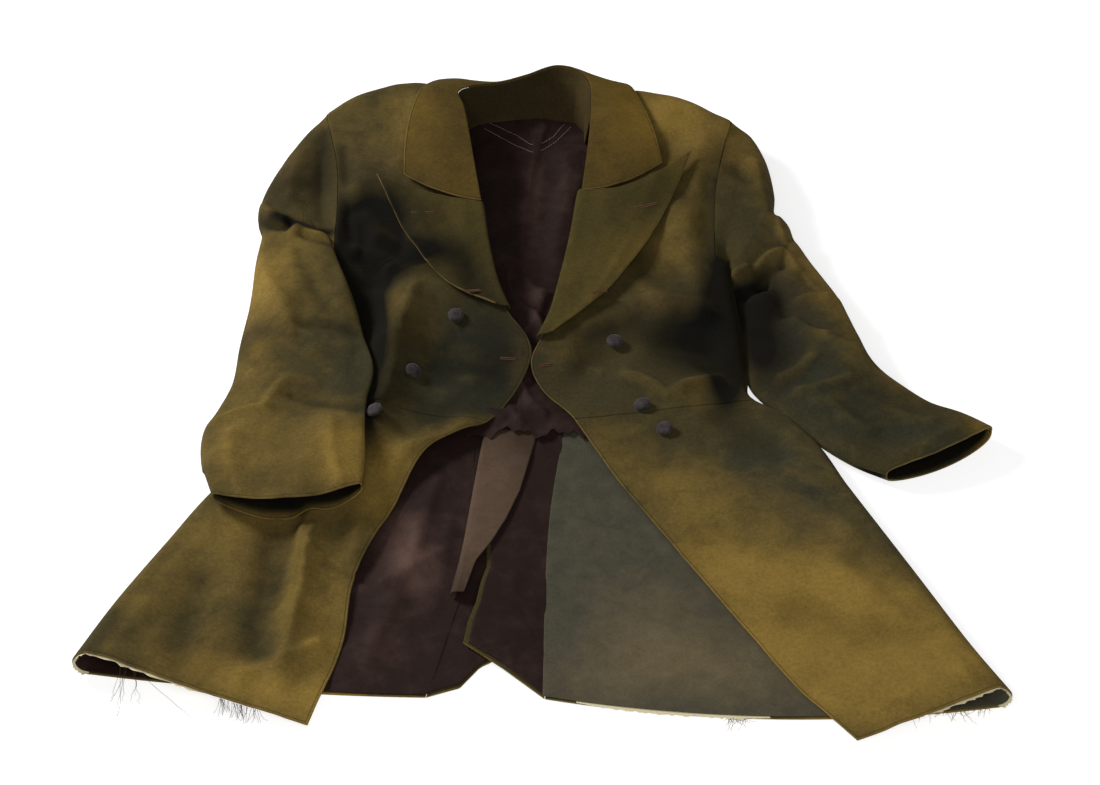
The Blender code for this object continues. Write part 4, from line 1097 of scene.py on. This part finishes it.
COLLAR_WOOL = wool(
    "collar_wool", (0.070, 0.046, 0.011, 1), (0.180, 0.108, 0.018, 1), (0.045, 0.037, 0.014, 1), 0.02,
)

w, w_wall = spread(0, 1, 75, 1.9)
station, station_wall = spread(0, 14, 560, 2.9)
across, place = np.meshgrid(w, station)
at = {name: smooth(STATION, COLLAR[name], place) for name in COLLAR}
x = at["fold_x"] + (at["leaf_x"] - at["fold_x"]) * across
y = at["fold_y"] + (at["leaf_y"] - at["fold_y"]) * across + at["bow"] * 4 * across * (1 - across)
z = at["fold_z"] + (at["leaf_z"] - at["fold_z"]) * across**1.35 + 3 * np.sin(math.pi * across)
z += unevenness(x, y, 0.8, 71) * np.sin(math.pi * np.clip(across, 0.05, 1))
leaf = np.stack([x, y, z], -1)
made = shell(
    "collar_leaf_cloth", leaf, grid_normals(leaf, -1), CLOTH, np.minimum(w_wall, station_wall[:, None]),
    ["end", "low", "high"], wool_tones(leaf),
)
lay(made, COLLAR_WOOL, ["collar_leaf"], ["forepart_left", "forepart_right"])

w, w_wall = spread(0, 1, 60, 1.8)
station, station_wall = spread(2.3, 11.7, 230, 2.2)
down, place = np.meshgrid(w, station)
x, y, z = (smooth(STATION, COLLAR["fold_" + n], place) for n in "xyz")
before, after = (
    [smooth(STATION, COLLAR["fold_" + n], place + step) for n in "xy"] for step in (-0.02, 0.02)
)
along_x, along_y = after[0] - before[0], after[1] - before[1]
length = np.hypot(along_x, along_y)
x, y = x + 0.7 * along_y / length, y - 0.7 * along_x / length
x += (np.interp(place, STAND["station"], STAND["foot_x"]) - x) * down
y += (np.interp(place, STAND["station"], STAND["foot_y"]) - y) * down
stand = np.stack([x, y, z - 0.3 + (5.0 - z) * down], -1)
STAND_WOOL = wool(
    "stand_wool", (0.042, 0.030, 0.012, 1), (0.100, 0.064, 0.016, 1), (0.028, 0.024, 0.013, 1), -0.1, False,
)
made = shell(
    "collar_stand_cloth", stand, grid_normals(stand, -1), CLOTH, np.minimum(w_wall, station_wall[:, None]),
    [], wool_tones(stand),
)
lay(made, STAND_WOOL, ["collar_stand"], ["back_lining_left", "back_lining_right"])

# Sleeves: each is a top and an under half, sewn along both seams into a flattened tube that lies beside
# the body. The left one lies over the side fold, the right one on the floor.
SLEEVE_COLUMNS = "k outer_x outer_y inner_x inner_y top_out top_in bow"
LEFT_SLEEVE = table(
    SLEEVE_COLUMNS,
    (0.00, -267, 446, -249, 210, 51, 38, -10),
    (0.08, -286, 412, -255, 214, 50, 40, -6),
    (0.16, -308, 362, -261, 220, 48, 42, 0),
    (0.24, -327, 305, -256, 224, 46, 44, 6),
    (0.31, -333, 262, -251, 222, 44, 44, 8),
    (0.37, -327, 236, -248, 206, 38, 44, 4),
    (0.45, -330, 188, -238, 174, 38, 47, 0),
    (0.55, -331, 118, -217, 110, 42, 48, 0),
    (0.65, -337, 45, -203, 50, 44, 46, 0),
    (0.74, -341, -19, -190, -10, 42, 46, 0),
    (0.80, -352, -60, -195, -55, 46, 48, 0),
    (0.86, -364, -98, -195, -98, 51, 50, 0),
    (0.92, -362, -142, -193, -138, 54, 50, 6),
    (1.00, -344, -204, -194, -180, 55, 48, 22),
)
RIGHT_SLEEVE = table(
    SLEEVE_COLUMNS,
    (0.00, 217.5, 434, 191, 194, 52, 40, -9),
    (0.08, 238, 404, 198, 192, 50, 40, -4),
    (0.16, 253, 354, 203, 186, 48, 42, 1),
    (0.22, 258, 302, 203, 178, 46, 42, 4),
    (0.275, 258, 262, 202.5, 168, 45, 40, 5),
    (0.305, 271, 246, 202.5, 160, 42, 36, 5),
    (0.33, 275, 230, 203, 152, 43, 28, 4),
    (0.40, 292, 185, 205, 128, 44, 21, 0),
    (0.50, 318, 125, 209, 85, 46, 19, 0),
    (0.60, 336, 62, 211.5, 36, 46, 19, 0),
    (0.68, 350, 20, 218, -8, 42, 20, 0),
    (0.76, 377, -12, 249, -54, 36, 25, 0),
    (0.84, 405, -36, 287, -97, 30, 26, 0),
    (0.92, 437, -54, 318, -124, 31, 26, 4),
    (1.00, 468, -80, 352, -143, 34, 27, 8),
)
LEFT_SLEEVE_CREASES = table(
    CREASE_COLUMNS,
    (-329, 270, -303, 240, 4, 8.0, 9, 9, 0.4),
    (-286, 226, -242, 209, 3, 8.0, 9, 8, 0.4),
    (-328, 252, -298, 229, 4, -9, 6, 6, 0.0),
    (-280, 216, -240, 195, 2, -9, 6, 6, 0.0),
    (-328, 217, -281, 57, 8, 6.4, 14, 16, 0.2),
    (-328, 166, -291, 100, 5, 4.2, 12, 12, 0.2),
    (-272, 58, -197, 47, -4, -5.4, 9, 9, 0.0),
    (-354, -88, -300, -74, -3, 5.4, 6, 6, 0.4),
    (-300, -74, -287, -35, -3, 5.4, 6, 6, 0.4),
    (-275, -55, -191, -78, 4, -4.2, 6, 7, 0.0),
    (-335, -115, -316, -202, 4, 3.8, 9, 10, 0.0),
    (-230, -96, -215, -183, 3, 3.8, 9, 9, 0.0),
    (-335, 102, -334, 22, 2, -3.5, 9, 9, 0.0),
    (-229, 170, -204, 50, 3, 3.5, 9, 10, 0.0),
    (-280, 185, -241, 83, 5, -3.8, 9, 10, 0.0),
    (-290, 357, -297, 277, 3, 4.2, 12, 10, 0.0),
    (-264, 395, -259, 246, 3, -4.2, 9, 9, 0.0),
    (-320, -10, -250, -30, 4, 3.2, 8, 9, 0.2),
)
RIGHT_SLEEVE_CREASES = table(
    CREASE_COLUMNS,
    (186, 158, 220, 168, 2, 8.0, 7, 7, 0.3),
    (236, 173, 262, 190, -3, 8.0, 7, 8, 0.3),
    (268, 206, 262, 250, -3, 7.0, 8, 8, 0.3),
    (206, 134, 240, 152, 2, -12, 10, 9, 0.0),
    (240, 152, 262, 168, -2, -5, 9, 6, 0.0),
    (276, 226, 262, 170, 2, -5, 6, 6, 0.0),
    (266, 186, 304, 116, 4, 6, 9, 10, 0.3),
    (238, 160, 258, 92, -4, -6, 8, 9, 0.0),
    (240, 344, 252, 248, 4, 5.8, 10, 12, 0.2),
    (276, 111, 315, 113, -3, 5.8, 6, 6, 0.4),
    (268, 80, 299, 53, 4, 5.4, 7, 7, 0.4),
    (304, 51, 334, 35, 3, 4.8, 7, 7, 0.3),
    (250, -4, 283, 21, 3, 5.4, 7, 7, 0.3),
    (267, -25, 322, -11, 4, 4.8, 7, 7, 0.3),
    (298, -44, 337, -88, 4, 4.2, 8, 9, 0.2),
    (341, -44, 402, -78, 4, 4.2, 8, 8, 0.2),
    (366, -124, 433, -86, 3, 3.5, 8, 8, 0.0),
    (215, 330, 235, 306, 3, -4.8, 8, 8, 0.0),
    (280, 150, 300, 120, 3, -4.8, 7, 7, 0.0),
)


def body_top(side, x, y):
    """Height of the body's cloth under a sleeve at x, y, falling away outside the side fold."""
    rows = side["rows"]
    v = np.interp(y, rows["side_y"], rows["v"])
    at = {name: smooth(rows["v"], rows[name], v) for name in ("edge_x", "side_x", "side_z")}
    radius = at["side_z"] / 2
    share = np.clip((x - at["edge_x"]) / (at["side_x"] - at["edge_x"]), 0, 1)
    beyond = side["out"] * (x - at["side_x"])
    plateau = np.maximum(body(side, share, v)[..., 2], at["side_z"] * fade(0.6, 1, share))
    return plateau * fade(radius + 34, radius + 6, beyond) * fade(234, 200, y)


def sleeve(rows, side, rests, folds, seed, k, turn):
    """Turn runs from 0 at the outer end over the top to 1 inside, and under it to 2; a squared oval between
    the rests' height and the table's top, with the creases on its upper half."""
    at = {name: smooth(rows["k"], rows[name], k) for name in rows}
    angle = math.pi * turn
    q = (1 - np.cos(angle)) / 2
    length = np.hypot(at["inner_x"] - at["outer_x"], at["inner_y"] - at["outer_y"])
    across_x = (at["inner_x"] - at["outer_x"]) / length
    across_y = (at["inner_y"] - at["outer_y"]) / length
    bow = at["bow"] * 4 * q * (1 - q) * -side["out"]
    x = at["outer_x"] + (at["inner_x"] - at["outer_x"]) * q + bow * across_y
    y = at["outer_y"] + (at["inner_y"] - at["outer_y"]) * q - bow * across_x
    top = at["top_out"] + (at["top_in"] - at["top_out"]) * q
    low = np.full(np.shape(x), LIE + 0.2)
    if rests:
        low = np.maximum(low, body_top(side, x, y) + 3)
    middle, half = (top + low) / 2, (top - low) / 2
    bulge = np.sign(np.sin(angle)) * np.abs(np.sin(angle)) ** (0.75 - 0.25 * fade(0.86, 1, k))
    crown = np.clip(np.sin(angle), 0, 1) ** 0.5
    relief = (creases(folds, x, y) + unevenness(x, y, 2.2, seed)) * crown * fade(0, 9, half)
    tube = np.stack([x, y, middle + half * bulge + relief], -1)
    armhole = body(side, 1.0, np.interp(q, (0, 0.1, 1), (2.5, 2.0, ARMPIT)))
    armhole[..., 0] += side["out"] * 0.3
    under = np.clip(-np.sin(angle), 0, 1) ** 0.35
    armhole[..., 2] += (LIE + 0.2 - armhole[..., 2]) * under - 0.3
    return tube + (armhole - tube) * fade(0.075, 0, k)[..., None]


def sleeve_tones(middle, folds, half, down):
    """The wool's tones; only the top half shows its creases, and the under half gets painted shade inside the
    cuff's mouth.
    """
    relief = creases(folds, middle[..., 0], middle[..., 1]) * (half == "top")
    tones = wool_tones(middle, relief, SLEEVE_UNFADED_AND_SHADED)
    if half == "under":
        # Painted shade inside the cuff's mouth.
        tones["unfaded_and_shade"] = tones["unfaded_and_shade"] + 0.9 * fade(0.997, 0.985, down) * fade(0.9, 0.96, down)
    return tones


LEFT_SLEEVE_SEED = 81
for end, rows, side, rests, folds, seed in (
    ("left", LEFT_SLEEVE, LEFT_SIDE, True, LEFT_SLEEVE_CREASES, LEFT_SLEEVE_SEED),
    ("right", RIGHT_SLEEVE, RIGHT_SIDE, False, RIGHT_SLEEVE_CREASES, 85),
):
    for half, start in (("top", 0.0), ("under", 1.0)):
        columns = 56 if half == "top" else 32
        turn = start + np.linspace(0.0008, 0.9992, columns)
        turn_wall = np.ones(columns)
        turn_wall[[0, -1]] = 0.8
        k, k_wall = spread(0, 1, 650, 3.0)
        around, down = np.meshgrid(turn, k)
        middle = sleeve(rows, side, rests, folds, seed, down, around)
        made = shell(
            f"{half}_sleeve_cloth_{end}", middle, grid_normals(middle, 1), CLOTH,
            np.minimum(turn_wall, k_wall[:, None]), ["high"],
            sleeve_tones(middle, folds, half, down),
        )
        rests_on = ("forepart_" if half == "under" else "under_sleeve_") + end
        lay(made, FRONT_WOOL, [f"{half}_sleeve_{end}"], [rests_on])

# Buttons: moulds covered in dark worn cloth, gathered behind; three have tipped on their threads.
# Each is a lathed outline.
BUTTON_OUTLINE = table(
    "reach level",
    (0.05, 0.00), (0.30, 0.00), (0.34, 0.08), (0.32, 0.26), (0.60, 0.30),
    (0.86, 0.34), (0.97, 0.42), (1.00, 0.54), (0.98, 0.66), (0.92, 0.78),
    (0.80, 0.88), (0.62, 0.95), (0.40, 0.99), (0.18, 1.00), (0.03, 1.00),
)
POINTS_ROUND = 40
BUTTON_HIGH = 7.5
BUTTON_CLEAR = 0.3  # between a button's foot and the cloth's face
make = Finish("button_cloth", 0.72, Sheen_Weight=0.2, Sheen_Roughness=0.4, Sheen_Tint=(0.8, 0.7, 0.7, 1))
speck = make.cloud(700, 4, 0.7)
rub = make.cloud(160, 5, 0.65)
button_colour = make.mix((rub * 2.2 - 0.75).clamp(), (0.020, 0.016, 0.017, 1), (0.062, 0.050, 0.050, 1))
BUTTON_CLOTH = make.finish(button_colour, speck + rub * 0.6, 0.5, 0.0003)


def on_cloth(middle, out, x, y):
    """The point of a grid nearest to x, y seen from above, moved to x, y in its own tangent plane."""
    normal = grid_normals(middle, out)
    away = np.hypot(middle[..., 0] - x, middle[..., 1] - y) + 1e3 * (normal[..., 2] < 0.2)
    i = np.unravel_index(np.argmin(away), away.shape)
    spot, up = middle[i], normal[i]
    drop = (up[0] * (x - spot[0]) + up[1] * (y - spot[1])) / max(up[2], 0.3)
    return np.array((x, y, spot[2] - drop)), up


def closed_mesh(name, points, faces, material):
    """A smooth mesh from points in millimetres and a list of faces."""
    mesh = bpy.data.meshes.new(name)
    mesh.from_pydata((points * MM).tolist(), [], faces)
    mesh.materials.append(material)
    mesh.shade_smooth()
    made = bpy.data.objects.new(name, mesh)
    bpy.context.scene.collection.objects.link(made)
    return made


def button(name, place, up, across, tip):
    """Rings of the outline about up, tipped by tip degrees sideways; a fan closes each end."""
    up = up / np.linalg.norm(up)
    first = np.cross(up, (0.0, 1.0, 0.0))
    first /= np.linalg.norm(first)
    second = np.cross(up, first)
    lean = math.radians(tip)
    face = up * math.cos(lean) + first * math.sin(lean)
    side = first * math.cos(lean) - up * math.sin(lean)
    turn = np.linspace(0, 2 * math.pi, POINTS_ROUND, endpoint=False)
    circle = np.cos(turn)[:, None] * side + np.sin(turn)[:, None] * second
    gather = 1 + 0.012 * np.sin(turn * 13)[:, None]
    rings = [
        place + face * BUTTON_HIGH * level
        + circle * (across / 2 * reach) * (gather if 0.3 < level < 0.75 else 1)
        for reach, level in zip(*BUTTON_OUTLINE.values())
    ]
    points = np.concatenate(rings + [place[None], (place + face * BUTTON_HIGH)[None]])
    here = np.arange(POINTS_ROUND)
    beside = np.roll(here, -1)
    last = (len(rings) - 1) * POINTS_ROUND
    first_of = np.arange(0, last, POINTS_ROUND)[:, None]
    above = first_of + POINTS_ROUND
    walls = np.stack([first_of + here, first_of + beside, above + beside, above + here], -1).reshape(-1, 4)
    foot = np.stack([np.full(POINTS_ROUND, len(points) - 2), beside, here], -1)
    crown = np.stack([np.full(POINTS_ROUND, len(points) - 1), last + here, last + beside], -1)
    return closed_mesh(name, points, walls.tolist() + foot.tolist() + crown.tolist(), BUTTON_CLOTH)


def sew_on(name, node, grid, out, x, y, across, tip):
    """A button on a grid of cloth at x, y, in place of its CAD node."""
    spot, up = on_cloth(grid, out, x, y)
    made = button(name, spot + up * (CLOTH / 2 + BUTTON_CLEAR), up, across, tip)
    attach(made, "root")
    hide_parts(node)


s, v = np.meshgrid(np.linspace(0, 1, 90), np.linspace(0.8, 1.6, 220))
FRONTS = {"left": body(LEFT_SIDE, s, v), "right": body(RIGHT_SIDE, s, v)}
for name, end, x, y, tip in (
    ("button_left_top", "left", -104, 95, 0),
    ("button_left_middle", "left", -150, 5, 0),
    ("button_left_low", "left", -184, -70, 22),
    ("button_right_top", "right", 70, 51, 0),
    ("button_right_middle", "right", 99, -40, 9),
    ("button_right_low", "right", 122, -78, 11),
):
    sew_on(name + "_covered", name, FRONTS[end], -1 if end == "left" else 1, x, y, 18.0, tip)

turn, k = np.meshgrid(np.linspace(0.02, 0.4, 30), np.linspace(0.9, 1, 40))
cuff = sleeve(LEFT_SLEEVE, LEFT_SIDE, True, LEFT_SLEEVE_CREASES, LEFT_SLEEVE_SEED, k, turn)
sew_on("button_cuff_covered", "button_cuff_left", cuff, 1, -341, -193, 14.0, 0)

# Sewing: worked buttonholes in reddish silk, the double V that holds the neck lining, and the threads and
# frayed yarns left where the hems have torn. Each is a bundle of fine tubes laid on the cloth.
def silk(name, colour, roughness=0.6):
    """Plain thread or canvas: one colour, broken up by a fine cloud."""
    make = Finish(name, roughness)
    shade = 0.7 + make.cloud(900, 3, 0.7) * 0.6
    return make.finish(make.mix(1.0, colour, make.shade(shade), "MULTIPLY"), shade, 0.3, 0.0002)


HOLE_SILK = silk("buttonhole_silk", (0.120, 0.056, 0.034, 1))
SLIT_DARK = silk("buttonhole_slit", (0.006, 0.005, 0.004, 1))
PALE_SILK = silk("pale_silk", (0.30, 0.235, 0.20, 1))
DARK_YARN = silk("dark_yarn", (0.030, 0.022, 0.014, 1))
GOLD_YARN = silk("gold_yarn", (0.17, 0.115, 0.045, 1))


def tubes(name, paths, radius, material):
    """Square-sided tubes: paths is tubes by points by 3, and radius is one number or one for each point. Two
    unit vectors across each path are the cross products of its direction with up and with each other."""
    paths = np.asarray(paths, float)
    along = np.gradient(paths, axis=1)
    along /= np.maximum(np.linalg.norm(along, axis=-1, keepdims=True), 1e-9)
    first = np.cross(along, (0.05, 0.02, 1.0))
    first /= np.maximum(np.linalg.norm(first, axis=-1, keepdims=True), 1e-9)
    second = np.cross(first, along)
    thick = np.broadcast_to(radius, paths.shape[:2])[..., None]
    corners = [first, second, -first, -second]
    points = np.stack([paths + corner * thick for corner in corners], 2)
    count, length = paths.shape[:2]
    index = np.arange(count * length * 4).reshape(count, length, 4)
    turned = np.roll(index, -1, axis=2)
    quads = np.stack([index[:, :-1], turned[:, :-1], turned[:, 1:], index[:, 1:]], -1).reshape(-1, 4)
    ends = np.concatenate([index[:, 0, ::-1], index[:, -1]])
    made = closed_mesh(name, points.reshape(-1, 3), np.concatenate([quads, ends]).tolist(), material)
    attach(made, "root")
    return made


HOLES = table(
    "x0 y0 x1 y1",
    (-157, 245, -131, 247),
    (-94, 119, -77, 126),
    (-54, 35.5, -37, 33),
    (97, 252, 121, 259),
    (47, 117, 63, 119),
    (-11, 20, 1, 21),
)
bars, slits = [], []
for hole, (grid, out) in enumerate(
    ((LAPELS["left"], -1), (LAPELS["left"], -1), (FRONTS["left"], -1),
     (LAPELS["right"], 1), (LAPELS["right"], 1), (FRONTS["right"], 1))
):
    x0, y0, x1, y1 = (HOLES[n][hole] for n in HOLES)
    (start, up), (stop, up_stop) = on_cloth(grid, out, x0, y0), on_cloth(grid, out, x1, y1)
    up = (up + up_stop) / np.linalg.norm(up + up_stop)
    along = stop - start
    aside = np.cross(up, along)
    aside /= np.linalg.norm(aside)
    share = np.linspace(0, 1, int(np.linalg.norm(along) / 0.6))[:, None]
    line = start + along * share + up * (CLOTH / 2 + 0.25)
    for flip in (-1, 1):
        reach = np.array((0.4, 0.9, 1.5, 2.0))[None, :, None] * flip
        rise = np.array((0.1, 0.42, 0.36, -0.1))[None, :, None]
        bars.append(line[:, None] + aside * reach + up * rise)
    slits.append((start + along * np.linspace(0.02, 0.98, 12)[:, None]) + up * (CLOTH / 2 + 0.35))
tubes("buttonhole_stitches", np.concatenate(bars), 0.3, HOLE_SILK)
tubes("buttonhole_slits", slits, 0.55, SLIT_DARK)

NECK_V = (
    ((-72, 461), (-40, 440), (-23, 423), (-9, 424), (4, 438), (14, 455), (20, 461)),
    ((-78, 453), (-43, 424), (-21, 407), (-9, 413), (6, 428), (26, 457)),
)
dashes = []
for corners in NECK_V:
    spots = []
    for x, y in corners:
        grid = NECK_LINING["left" if x < -19 else "right"]
        spot, up = on_cloth(grid, 1, x, y)
        spots.append(spot + (0, 0, LINING / 2 + 0.35))
    spots = np.array(spots)
    reach = np.concatenate([[0], np.cumsum(np.linalg.norm(np.diff(spots, axis=0), axis=1))])
    starts = np.arange(0, reach[-1] - 3.4, 4.2)
    for begin in starts:
        knots = begin + np.array((0, 0.5, 1.7, 2.9, 3.4))
        line = np.stack([np.interp(knots, reach, spots[:, n]) for n in range(3)], -1)
        dashes.append(line + np.array((-0.3, 0.1, 0.3, 0.1, -0.3))[:, None] * UP)
tubes("neck_lining_stitches", dashes, 0.24, PALE_SILK)

# Interlining: the cream canvas between wool and lining, bared where the hems' edges have worn through.
CANVAS = silk("cream_canvas", (0.60, 0.53, 0.34, 1), 0.9)
for end, side, low_s, high_s, length in (
    ("left", LEFT_SIDE, 0.46, 1.95, 160), ("right_roll", RIGHT_SIDE, 0.52, 1.9, 120),
    ("right_hem", RIGHT_SIDE, 2.50, 2.93, 190),
):
    s, s_wall = spread(low_s, high_s, length, 1.6)
    w, w_wall = spread(0, 1, 17, 1.0)
    s, w = np.meshgrid(s, w)
    chance = np.random.default_rng(97)
    ragged = np.interp(s[0], np.linspace(low_s, high_s, 60), chance.uniform(0.8, 3.6, 60))
    ragged = ragged * fade(low_s, low_s + 0.08, s[0]) * fade(high_s, high_s - 0.08, s[0])
    depth = -ragged + (13 + ragged) * w
    beyond = body(side, s, 0.0) - body(side, s, 0.02)
    beyond /= np.linalg.norm(beyond, axis=-1, keepdims=True)
    middle = body(side, s, np.maximum(depth, 0) / SKIRT_LENGTH) + beyond * np.maximum(-depth, 0)[..., None]
    out = grid_normals(middle, side["out"])
    middle = middle - out * (CLOTH / 2 + 0.15)
    made = shell("interlining_" + end, middle, out, 0.22, np.minimum(s_wall, w_wall[:, None]), [], {})
    lay(made, CANVAS, [], ["skirt_" + end.split("_")[0]])


def loose_yarns(name, side, s, reach, count, length, seed, material):
    """Fine bent yarns from a stretch of hem: each wanders by a random walk that is smoothed over its run."""
    chance = np.random.default_rng(seed)
    root = body(side, s + chance.uniform(-reach, reach, count), 0.0) - (0, 0, 1.0)
    sideways, down = chance.normal(0, 0.7, count), -np.abs(chance.normal(1, 0.5, count))
    heading = np.stack([sideways, down, np.zeros(count)], -1)
    heading *= (chance.uniform(0.3, 1, count) * length)[:, None]
    run = np.linspace(0, 1, 12)[None, :, None]
    sway = np.cumsum(chance.normal(0, 1, (count, 12, 3)), axis=1) * (length * 0.05) * (1, 1, 0)
    path = root[:, None] + heading[:, None] * run + sway * run
    path[..., 2] = 0.6 + np.maximum(path[:, :1, 2] - 0.6, 0.4) * (1 - run[..., 0]) ** 2
    return tubes(name, path, np.linspace(0.22, 0.1, 12), material)


loose_yarns("left_hem_threads", LEFT_SIDE, 0.82, 0.05, 9, 46, 3, DARK_YARN)
loose_yarns("left_hem_fray", LEFT_SIDE, 0.30, 0.10, 40, 10, 4, DARK_YARN)
loose_yarns("right_hem_tuft", RIGHT_SIDE, 2.575, 0.02, 30, 13, 5, GOLD_YARN)
loose_yarns("right_roll_fray", RIGHT_SIDE, 2.10, 0.09, 46, 9, 6, GOLD_YARN)
